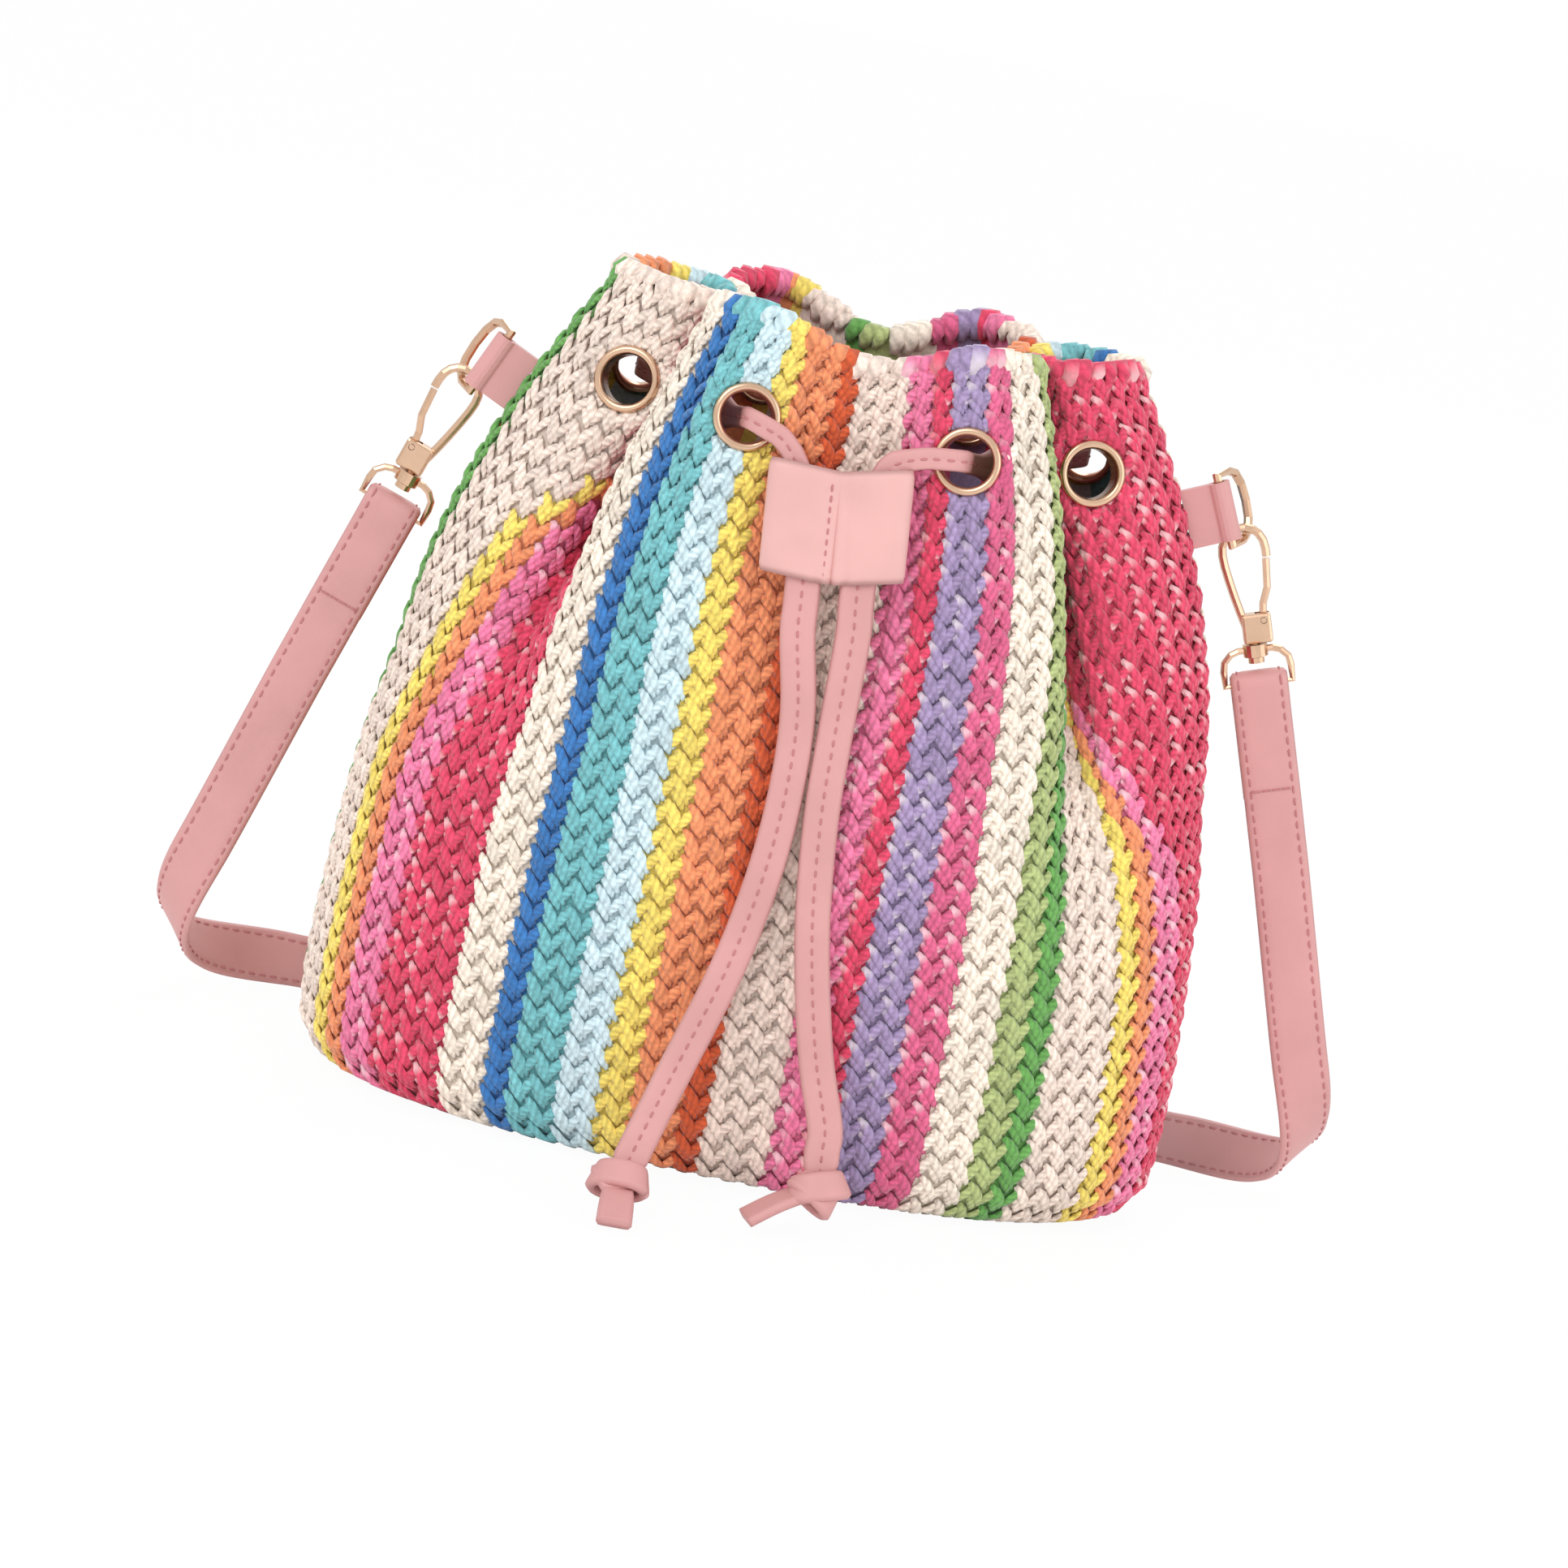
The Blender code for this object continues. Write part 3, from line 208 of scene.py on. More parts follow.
# Yarn colours, and the stripes' order with their widths in stitch columns
YARN = {
    "cream": (246, 232, 216),
    "blue": (60, 120, 185),
    "teal": (120, 190, 195),
    "pale_blue": (205, 228, 235),
    "yellow": (245, 220, 110),
    "light_orange": (240, 150, 104),
    "deep_orange": (215, 95, 55),
    "beige": (240, 221, 208),
    "pink": (238, 126, 166),
    "crimson": (224, 72, 104),
    "lavender": (165, 145, 185),
    "magenta": (220, 100, 140),
    "light_green": (178, 192, 128),
    "green": (105, 165, 85),
}
STRIPES = (
    ("cream", 2.0), ("blue", 1.0), ("teal", 2.0), ("pale_blue", 1.5), ("yellow", 1.5),
    ("light_orange", 2.0), ("deep_orange", 1.0), ("beige", 2.5), ("pink", 1.5), ("crimson", 1.0),
    ("lavender", 2.0), ("magenta", 1.5), ("cream", 2.0), ("light_green", 1.5), ("green", 1.0),
    ("beige", 3.0), ("yellow", 1.0), ("light_orange", 1.0), ("pink", 1.5), ("crimson", 3.5),
)
FIRST_STRIPE = 23.0  # how far into the stripes' order the left seam lies
HIGHLIGHTED_YARNS = ("pink", "crimson", "magenta", "lavender")  # yarns with a painted highlight, a pale loop, on some stitches
LEATHER = (205, 150, 148)
SLIDER_LEATHER = (218, 168, 164)
GOLD = (214, 178, 150)


# Shape, as in the source

def blend(p0, p1, p2, p3, t):
    """Catmull-Rom: a point between p1 and p2, at a share t of the way."""
    return 0.5 * (
        2 * p1
        + (p2 - p0) * t
        + (2 * p0 - 5 * p1 + 4 * p2 - p3) * t**2
        + (3 * p1 - p0 - 3 * p2 + p3) * t**3
    )


def along(points, place):
    """A point on the smooth curve through points, at a place from 0 to the last one's number."""
    last = len(points) - 1
    i = min(max(int(place), 0), last - 1)
    near = [np.array(points[min(max(k, 0), last)], float) for k in range(i - 1, i + 3)]
    return blend(*near, place - i)


def round_ring(points, place):
    """The same on a closed ring of points."""
    i = int(math.floor(place))
    near = [np.array(points[k % len(points)], float) for k in range(i - 1, i + 3)]
    return blend(*near, place - i)


def smooth_step(t):
    t = min(max(t, 0.0), 1.0)
    return t * t * (3 - 2 * t)


def curve_points(points, count):
    """Evenly numbered points on the smooth curve through a few points."""
    last = len(points) - 1
    return [along(points, last * i / (count - 1)) for i in range(count)]


def bend(start, start_run, end, end_run, count):
    """Points on the curve that leaves start along start_run and reaches end along end_run."""
    made = []
    for i in range(count):
        t = i / (count - 1)
        made.append(
            (2 * t**3 - 3 * t**2 + 1) * start
            + (t**3 - 2 * t**2 + t) * start_run
            + (3 * t**2 - 2 * t**3) * end
            + (t**3 - t**2) * end_run
        )
    return made


def oval_table():
    """Shares of the half width and half depth round the base, by share of its length."""
    steps = np.linspace(0, 2 * math.pi, 721)
    c, s = -np.cos(steps), -np.sin(steps)
    x = np.sign(c) * np.abs(c) ** (2 / OVAL_POWER)
    y = np.sign(s) * np.abs(s) ** (2 / OVAL_POWER)
    lengths = np.hypot(np.diff(x) * BASE_WIDTH / 2, np.diff(y) * BASE_DEPTH / 2)
    length = np.concatenate([[0], np.cumsum(lengths)])
    return length, x, y


OVAL = oval_table()
PITCH = OVAL[0][-1] / (2 * COLUMNS)  # width of a stitch column


def oval(column):
    length, x, y = OVAL
    at = (column * PITCH) % length[-1]
    return np.array([np.interp(at, length, x), np.interp(at, length, y)])


def mouth_ring():
    """The whole mouth from its quarter: right half, then back, as (column, x, y, drop)."""
    front = [(c, -x, -y, drop) for c, x, y, drop in MOUTH]
    front += [(COLUMNS - c, x, -y, drop) for c, x, y, drop in reversed(MOUTH[:-1])]
    back = [(2 * COLUMNS - c, x, -y, drop) for c, x, y, drop in reversed(front[1:-1])]
    return front + back


RING = mouth_ring()
RING_COLUMNS = [key[0] for key in RING] + [2 * COLUMNS]


def mouth(column):
    """Shares of the half width and half depth, and the rim's drop, at a column of the mouth."""
    place = np.interp(column % (2 * COLUMNS), RING_COLUMNS, range(len(RING_COLUMNS)))
    return round_ring([key[1:] for key in RING], float(place))


def fold_share(column, height):
    """How much of the mouth's folds the wall has: none at their foot, all at the eyelets."""
    front = min(column % (2 * COLUMNS), 2 * COLUMNS - column % (2 * COLUMNS))
    across = 0.5 - 0.5 * math.cos(math.pi * front / COLUMNS)
    foot = FOLD_FOOT_LEFT + (FOLD_FOOT_RIGHT - FOLD_FOOT_LEFT) * across
    return smooth_step((height - foot) / (EYELET_HEIGHT - foot))


def loose_wall(column, share):
    """The fabric's outer face at a stitch column and share of the height, with no ridges."""
    heights = [row[0] for row in PROFILE]
    _, wide, deep = along(PROFILE, float(np.interp(share, heights, range(len(PROFILE)))))
    folded = fold_share(column, share * BAG_HEIGHT)
    x, y, drop = mouth(column)
    plain = oval(column)
    x = (1 - folded) * plain[0] + folded * x
    y = (1 - folded) * plain[1] + folded * y
    z = FOOT_LIFT + share * (BAG_HEIGHT - FOOT_LIFT) - drop * share**8 * BAG_HEIGHT
    return np.array([x * wide * BASE_WIDTH / 2, y * deep * BASE_DEPTH / 2, z])


def outward(surface, column, share):
    """Unit normal of a surface given as a function of column and share of the height."""
    low, high = max(share - 0.004, 0.0), min(share + 0.004, 1.0)
    across = surface(column + 0.05, share) - surface(column - 0.05, share)
    up = surface(column, high) - surface(column, low)
    normal = np.cross(across, up)
    return normal / np.linalg.norm(normal)


def eyelet_places():
    """Column, centre and outward direction of each eyelet, the front's first."""
    share = EYELET_HEIGHT / BAG_HEIGHT
    columns = [*EYELET_COLUMNS, *(COLUMNS + c for c in EYELET_COLUMNS)]
    return [(c, loose_wall(c, share), outward(loose_wall, c, share)) for c in columns]


EYELETS = eyelet_places()


def held_flat(point, column):
    """The point as the nearest eyelet holds it flat, and how firmly, from 0 to 1."""
    for at, centre, normal in EYELETS:
        if abs(column - at) < FLAT_COLUMNS:
            depth = np.dot(point - centre, normal)
            away = np.linalg.norm(point - centre - depth * normal)
            held = 1 - smooth_step((away - FLAT_RADIUS) / FLAT_FADE)
            return point - held * depth * normal, held
    return point, 0.0


def wall(column, share):
    """The outer face with the flat place round each eyelet."""
    return held_flat(loose_wall(column, share), column)[0]


def stripe_at(column):
    """Number, in YARN, of the yarn at a stitch column."""
    place = (column + FIRST_STRIPE) % sum(width for _, width in STRIPES)
    for name, width in STRIPES:
        if place < width:
            return list(YARN).index(name)
        place -= width
    return 0


def frame_at(origin, x_axis, z_axis):
    """Matrix of a frame at origin with its X and Z along two directions at right angles."""
    x, z = Vector(x_axis).normalized(), Vector(z_axis).normalized()
    turn = Matrix((x, z.cross(x), z)).transposed().to_4x4()
    return Matrix.Translation(Vector(origin)) @ turn


def upright_frame(origin, normal):
    """Matrix of a frame at origin with its Z along a direction and its X level."""
    z = Vector(normal).normalized()
    return frame_at(origin, Vector((0, 0, 1)).cross(z), z)


def slider_frame():
    """The slider's own frame: X across, Z up along its channels, -Y to the front."""
    turn = Matrix.Rotation(SLIDER_LEAN, 4, "X").inverted() @ Matrix.Rotation(-SLIDER_ROLL, 4, "Y")
    return Matrix.Translation(Vector(SLIDER_CENTRE)) @ turn


def slider_place(x, z, y=0.0):
    """World place of a point given in the slider's frame."""
    return slider_frame() @ Vector((x, y, z))


def slider_across():
    """Direction across the slider."""
    return slider_frame().to_3x3() @ Vector((1, 0, 0))


def stations_of(points, hints):
    """Stations of a band through points, with its width as near each hint as its run allows."""
    stations = []
    for i, point in enumerate(points):
        before, after = points[max(i - 1, 0)], points[min(i + 1, len(points) - 1)]
        run = (Vector(after) - Vector(before)).normalized()
        hint = Vector(hints[i])
        stations.append((Vector(point), (hint - hint.dot(run) * run).normalized()))
    return stations


def through_eyelet(eyelet, toward):
    """Points from outside to inside through an eyelet, for a cord that comes from toward."""
    _, centre, normal = eyelet
    centre, normal = Vector(centre), Vector(normal)
    aside = Vector(toward) - centre
    aside = (aside - aside.dot(normal) * normal).normalized()
    return [
        centre + normal * CORD_REACH + aside * EYELET_FLANGE,
        centre + normal * CORD_REACH * 0.9 + aside * 0.0045,
        centre + normal * CORD_REACH * 0.4 + aside * 0.0012,
        *(centre - normal * depth for depth in EYELET_DEPTHS),
    ]


def pinched(point):
    """Share of its width that the cord keeps at a place: less where an eyelet squeezes it."""
    near = min((point - Vector(centre)).length for _, centre, _ in EYELETS)
    return CORD_PINCH + (1 - CORD_PINCH) * smooth_step((near - PINCH_REACH) / PINCH_REACH)


def channel_run(side):
    """The cord's stations in one channel, from the foot up, leaning out towards the top."""
    points = [slider_place(side * x, z) for x, z in CHANNEL_RUN]
    return stations_of(points, [slider_across()] * len(points))


def cord_way(side, places, height):
    """Places of the cord round the mouth, on one side."""
    return [Vector((side * x, y, height)) for x, y in places]


def cord_side(side):
    """The drawcord's stations on one side, from the slider's foot to behind the back."""
    channel = channel_run(side)
    order = (1, 7, 6) if side < 0 else (2, 4, 5)
    front, lobe, rear = (EYELETS[i] for i in order)
    top = channel[-1][0]
    entry = through_eyelet(front, top + Vector((0, 0, CORD_RISE)))
    rise = (top - channel[-2][0]).normalized() * CORD_LIFT
    run_in = (entry[1] - entry[0]).normalized() * CORD_DRAW
    across = bend(top, rise, entry[0], run_in, 7)[1:-1]
    inside = cord_way(side, CORD_INSIDE, EYELET_HEIGHT - CORD_DIP)
    out_again = through_eyelet(lobe, rear[1])[::-1]
    outside = cord_way(side, CORD_OUTSIDE, EYELET_HEIGHT)
    in_again = through_eyelet(rear, lobe[1])
    behind = cord_way(side, CORD_BEHIND, EYELET_HEIGHT - CORD_DIP)
    route = entry + inside + out_again + outside + in_again + behind
    loop = curve_points([tuple(p) for p in route], 66)
    front_face = Vector((0, -1, 0))
    pairs = zip([top, *across], across + entry)
    hints = [(after - before).cross(front_face) for before, after in pairs]
    hints += [(0, 0, -side)] * len(loop)
    stations = channel + stations_of([top, *across, *map(Vector, loop)], hints)[1:]
    return [(point, wide * pinched(point)) for point, wide in stations]


def tail_stations(side, route, knot):
    """The hanging tail from the slider's foot to its knot, straight at first."""
    half = SLIDER_HEIGHT / 2 + GAP
    start = [slider_place(side * FOOT_SPREAD, -half - drop) for drop in (0, SLIDE_RUN / 2, SLIDE_RUN)]
    last, middle = Vector(route[-1]), Vector(knot)
    axis = (last - middle).normalized()
    end = middle + axis * (KNOT_RADIUS * KNOT_FLATNESS + 2 * GAP)
    points = curve_points([tuple(p) for p in (*start, *route, end + axis * 0.003, end)], 30)
    return stations_of(points, [slider_across()] * len(points))


def side_frame(side):
    """Frame on a side seam: X out from the bag, Z up along the seam."""
    column = 0 if side < 0 else COLUMNS
    share = TAB_HEIGHT / BAG_HEIGHT
    foot, at, top = (Vector(wall(column, share + step)) for step in (-0.03, 0, 0.03))
    foot.y = at.y = top.y = 0
    up = (top - foot).normalized()
    return frame_at(at, (side * up.z, 0, -side * up.x), up)


def ring_frame(side):
    """The D-ring's frame: Z along its bar, X towards its bow, swung to the back."""
    seam = side_frame(side)
    out, up = seam.col[0].to_3d(), seam.col[2].to_3d()
    bow = out * math.cos(RING_TURN) + Vector((0, 1, 0)) * math.sin(RING_TURN)
    return frame_at(seam @ Vector((TAB_REACH, 0, 0)), bow, up)


def hook_frame(side):
    """The hook's frame: Z up its shank, X out from the bag to its gate, hung in the D-ring."""
    ring = ring_frame(side)
    up = Vector((-side * math.sin(HOOK_LEAN), 0, math.cos(HOOK_LEAN)))
    out = Vector((side * math.cos(HOOK_LEAN), 0, math.sin(HOOK_LEAN)))
    hung = ring @ Vector((HANG, 0, -RING_HALF_BAR))
    foot = hung + up * (RING_WIRE + HOOK_WIRE + BOW_CLEARANCE - HOOK_TOP)
    return frame_at(foot, out, up)


def strap_fold(frame):
    """Stations of the strap's end: up behind, round the swivel loop's bar and down in front."""
    layer = STRAP_THICKNESS / 2 + 0.00025
    around = LOOP_WIRE + GAP + STRAP_THICKNESS / 2
    up_behind = [(layer, -STRAP_FOLD), (layer, -0.6 * STRAP_FOLD), (layer, -0.28 * STRAP_FOLD)]
    up_behind += [(0.82 * around, -0.0036)]
    turn = [(around * math.cos(a), around * math.sin(a)) for a in np.linspace(-0.15, math.pi + 0.15, 8)]
    down_front = [(-y, z) for y, z in reversed(up_behind)]
    path = up_behind + turn + down_front + [(-0.3 * layer, -1.25 * STRAP_FOLD)]
    out = frame.col[0].to_3d()
    back = Vector((0, 1, 0))
    up = frame.col[2].to_3d()
    bar = frame @ Vector((0, 0, -LOOP_DROP))
    return [(bar + back * y + up * z, out) for y, z in path]


def behind_bag(column):
    """Place of the strap's middle where it lies on its edge behind the bag, at a column."""
    half = np.array([BASE_WIDTH / 2, BASE_DEPTH / 2])
    here, ahead = oval(column) * half, oval(column + 0.1) * half
    run = (ahead - here) / np.linalg.norm(ahead - here)
    x, y = here + np.array([run[1], -run[0]]) * STRAP_BEHIND
    return Vector((x, y, STRAP_WIDTH / 2 + 2 * GAP))


def strap_turn(start_y, floor):
    """Stations of the turn that brings the leaning strap round and level behind the bag."""
    run_in = Vector((math.sin(STRAP_LEAN), 0, -math.cos(STRAP_LEAN)))
    run_out = Vector((-1, 0, 0))
    back = Vector((0, 1, 0))
    axis, side = (run_in + run_out).normalized(), (run_in - run_out).normalized()
    climb = run_in.dot(axis) / run_in.dot(side)
    widest = math.acos(-axis.x * climb / side.x)
    bulge = WRAP_RADIUS * (side.x * math.sin(widest) + axis.x * climb * widest)
    fall = -axis.z * WRAP_RADIUS * climb * math.pi
    middle = Vector((STRAP_OUT - bulge, start_y, floor + fall)) + back * WRAP_RADIUS
    stations = []
    for a in np.linspace(0, math.pi, 17):
        round_it = back * math.sin(a) + side * math.cos(a)
        point = middle + WRAP_RADIUS * (side * math.sin(a) - back * math.cos(a) + axis * climb * a)
        stations.append((point, (round_it * climb - axis).normalized()))
    return stations


def strap_half():
    """Stations of the right half, from the sewn end down, round the turn and to the back."""
    frame = hook_frame(1)
    stations = strap_fold(frame)
    upright = frame.col[2].to_3d()
    start = stations[-1][0] - upright * STRAP_LEAD
    start.y = frame.translation.y
    turn = strap_turn(start.y, STRAP_WIDTH / 2 + 2 * GAP)
    end_run = Vector((math.sin(STRAP_LEAN), 0, -math.cos(STRAP_LEAN))) * STRAP_PULL
    straight = bend(start, -upright * STRAP_PULL, turn[0][0], end_run, 14)
    for i, point in enumerate(straight[:-1]):
        run = (straight[i + 1] - straight[max(i - 1, 0)]).normalized()
        stations.append((point, Vector((-run.z, 0, run.x)).normalized()))
    stations += turn
    meets = behind_bag(COLUMNS + STRAP_MEETS)
    run = (behind_bag(COLUMNS + STRAP_MEETS + 0.2) - meets).normalized()
    up = Vector((0, 0, 1))
    to_bag = bend(turn[-1][0], Vector((-STRAP_PULL, 0, 0)), meets, run * STRAP_PULL, 8)
    stations += [(p, up) for p in to_bag[1:]]
    at_back = np.linspace(COLUMNS + STRAP_MEETS, 1.5 * COLUMNS, 8)
    stations += [(behind_bag(c), up) for c in at_back[1:]]
    return stations


# Sizes of the dressing
IMAGE = 1932  # width and height of the photograph, in pixels
FOCAL = 5280  # in the photograph's pixels
CAMERA_DISTANCE = 1.1
CAMERA_ELEVATION = math.radians(12)
CAMERA_ROLL = math.radians(11.5)
CAMERA_TARGET = (-0.0007, 0.0, 0.0924)

# Square lamps that face the bag's middle: place, size and power
LAMPS = {
    "key": ((-0.9, -1.5, 1.5), 1.2, 15.0),
    "fill": ((1.4, -1.0, 0.7), 1.2, 6.0),
    "back": ((0.3, 1.5, 1.3), 1.0, 8.0),
}
LAMP_TARGET = (0, 0, 0.1)
SKY_STRENGTH = 0.95
FLOOR_WHITE = 0.96  # share of plain white in the floor as the camera sees it
FLOOR_HALF = 8.0
FLOOR_DROP = 0.0002

SEED = 7
STITCH_ROWS = 34
CLOTH_DEPTH = 0.0003  # the cloth between the stitches lies this far inside the CAD's face
COLUMN_DIP = 0.0003  # and this much deeper between two stitch columns
INNER_RIPPLE = 0.0004  # of the cloth's inner face, between stitches
GRID_U = 4  # samples of the wall in each stitch column
GRID_V = 72  # and from foot to rim
CLOTH_STEPS = 3  # steps of the cloth in each stitch column
HOLE_IN_STITCHES = 0.0076  # radii round an eyelet that stitches and cloth keep clear of
HOLE_IN_CLOTH = 0.0074
NEAR_EYELET = 0.014  # how far from an eyelet, and in front of or behind it, they are tucked in
NEAR_FACE = 0.008
FLANGE_SLACK = 0.0004  # between the flange's edge and the yarn that rises beside it
FLANGE_REACH = 0.0025  # over which that yarn rises
YARN_RISE = 0.0030
EDGE_KEEP = 0.06  # of a stitch column, which yarn keeps clear of a side seam

STRAND_SIDES = 6
PLY_ALONG = 2.6  # turns of the yarn's plies along a strand
PLY_AROUND = 2.0
PLACE_SPREAD = 0.03  # of the stitches' random shifts, in stitch columns and rows
SWELL = (0.92, 1.08)  # range of the strands' random thickness
BORDER_SPREAD = 0.06  # of the places where one yarn gives way to the next
RIM_PITCH = 0.72  # from loop to loop of the rim, in stitch columns
RIM_SPREAD = 0.09
RIM_SWELL = (0.80, 1.20)
BELOW_RIM = 0.98  # share of the height at which the rim's upward direction starts
# A rim loop's way over the mouth's edge: place across it in columns, height over the edge,
# place out from the face, and half width in shares of a column
RIM_LOOP = (
    (0.10, -0.0036, 0.0002, 0.16), (0.24, -0.0012, 0.0010, 0.34), (0.42, 0.0012, -0.0002, 0.42),
    (0.58, 0.0013, -0.0026, 0.42), (0.70, -0.0010, -0.0042, 0.34), (0.80, -0.0040, -0.0038, 0.16),
)

# A stitch's three strands: place across the column and up the row, height over the cloth in
# millimetres, half width in shares of the column
LONG_LEG = (
    (-0.10, 1.02, 0.2, 0.10),
    (0.12, 0.82, 0.9, 0.20),
    (0.36, 0.52, 1.1, 0.23),
    (0.58, 0.22, 0.8, 0.20),
    (0.76, -0.08, 0.1, 0.10),
)
SHORT_LEG = (
    (0.54, 0.00, 0.1, 0.10),
    (0.68, 0.28, 0.7, 0.19),
    (0.84, 0.54, 0.9, 0.22),
    (1.00, 0.74, 0.7, 0.18),
    (1.12, 0.92, 0.1, 0.09),
)
UNDER_LEG = (
    (-0.06, 0.60, 0.0, 0.10),
    (0.10, 0.44, 0.5, 0.18),
    (0.28, 0.22, 0.7, 0.20),
    (0.46, -0.04, 0.5, 0.18),
    (0.60, -0.28, 0.0, 0.10),
)
STRAND_FLATNESS = 0.55

# Where the folds draw the side lobes' stripes together at the top: the stripes' edges at the
# foot and at the eyelets, and the shares of the height between which they move
LEFT_FOLD = ((0, 1, 4, 5, 6, 7.5, 11), (0, 1, 9.4, 9.9, 10.2, 10.5, 11), (0.66, 0.84))
RIGHT_FOLD = ((35, 38, 39, 40, 41.5, 45), (35, 35.3, 35.6, 35.9, 36.6, 45), (0.42, 0.66))

THREAD = (188, 122, 124)
SLIDER_WALL = 0.0012
SLIDER_SEAM = 0.0019  # from the slider's middle crease to its row of stitches
SLIDER_SAG = 0.0022  # of the slider's middle between its corners
EYELET_TURNS = 56
BARREL_PAST = 0.0008  # of an eyelet's barrel past its washer, where it rolls outward
ROLL_OUT = 0.0009
ROLL_DROP = 0.0010
STITCH_PITCH = 0.0032
FINE_PITCH = 0.0026  # of the slider's stitches and the row across the strap
STITCH_LENGTH = 0.0021
STITCH_ARCH = (-0.00030, 0.00004, 0.00010, 0.00004, -0.00030)  # of the thread along a stitch
THREAD_RADIUS = 0.00022
THREAD_SET = 0.0001  # how deep the thread lies in the leather
GROOVE_DEPTH = 0.00022
GROOVE_WIDTH = 0.0006
CORD_GROOVE = 0.00018
STRAP_INSET = 0.0019  # from the strap's edge to its stitches
CROSS_INSET = 0.0018  # and to the ends of the row across it

# A knot's two turns: half width, half depth, tilt, shift along the knot and width of the band
KNOT_TURNS = (
    (0.0060, 0.0044, 0.22, -0.0004, 0.0076),
    (0.0050, 0.0036, -0.65, 0.0016, 0.0066),
)
KNOT_GATHER = 0.42  # share of its width that the tail loses on its way into the knot
TIP_ARCH = 0.0008


# Materials

def linear(colour):
    """8-bit display colour to the linear values that a shader takes."""
    shares = [value / 255 for value in colour]
    return [s / 12.92 if s <= 0.04045 else ((s + 0.055) / 1.055) ** 2.4 for s in shares]


class Look:
    """A Principled material with helpers for its node tree."""

    def __init__(self, name, colour, roughness, metallic=0.0):
        self.material = bpy.data.materials.new(name)
        self.material.use_nodes = True
        self.tree = self.material.node_tree
        self.shader = self.tree.nodes["Principled BSDF"]
        self.colour = (*linear(colour), 1.0)
        self.set("Base Color", self.colour)
        self.set("Roughness", roughness)
        self.set("Metallic", metallic)

    def set(self, socket, value):
        self.shader.inputs[socket].default_value = value

    def add(self, kind, **settings):
        node = self.tree.nodes.new(kind)
        for name, value in settings.items():
            if name in node.inputs:
                node.inputs[name].default_value = value
            else:
                setattr(node, name, value)
        return node

    def link(self, out, into):
        self.tree.links.new(out, into)

    def noise(self, scale, detail=2.0):
        node = self.add("ShaderNodeTexNoise", Scale=scale, Detail=detail)
        if not hasattr(self, "place"):
            self.place = self.add("ShaderNodeTexCoord")
        self.link(self.place.outputs["Object"], node.inputs["Vector"])
        return node.outputs["Fac"]

    def ramp(self, value, low, high, low_at=0.3, high_at=0.7):
        """Colour ramp between two colours that a value drives."""
        node = self.add("ShaderNodeValToRGB")
        node.color_ramp.elements[0].position = low_at
        node.color_ramp.elements[1].position = high_at
        node.color_ramp.elements[0].color = low
        node.color_ramp.elements[1].color = high
        self.link(value, node.inputs["Fac"])
        return node.outputs["Color"]

    def mixed(self, share, first, second, how="MIX"):
        node = self.add("ShaderNodeMix", data_type="RGBA", blend_type=how)
        if isinstance(share, float):
            node.inputs[0].default_value = share
        else:
            self.link(share, node.inputs[0])
        for socket, value in ((node.inputs[6], first), (node.inputs[7], second)):
            if isinstance(value, tuple):
                socket.default_value = value
            else:
                self.link(value, socket)
        return node.outputs[2]

    def bump(self, height, distance, strength=1.0):
        node = self.add("ShaderNodeBump", Strength=strength, Distance=distance)
        self.link(height, node.inputs["Height"])
        self.link(node.outputs["Normal"], self.shader.inputs["Normal"])


def shaded(colour, share):
    return (*(channel * share for channel in colour[:3]), 1.0)


def grey(value):
    return (value, value, value, 1.0)


# Colour of the painted highlight, a pale stretch at the start of some strands
PAINTED_HIGHLIGHT = (0.92, 0.84, 0.82, 1.0)


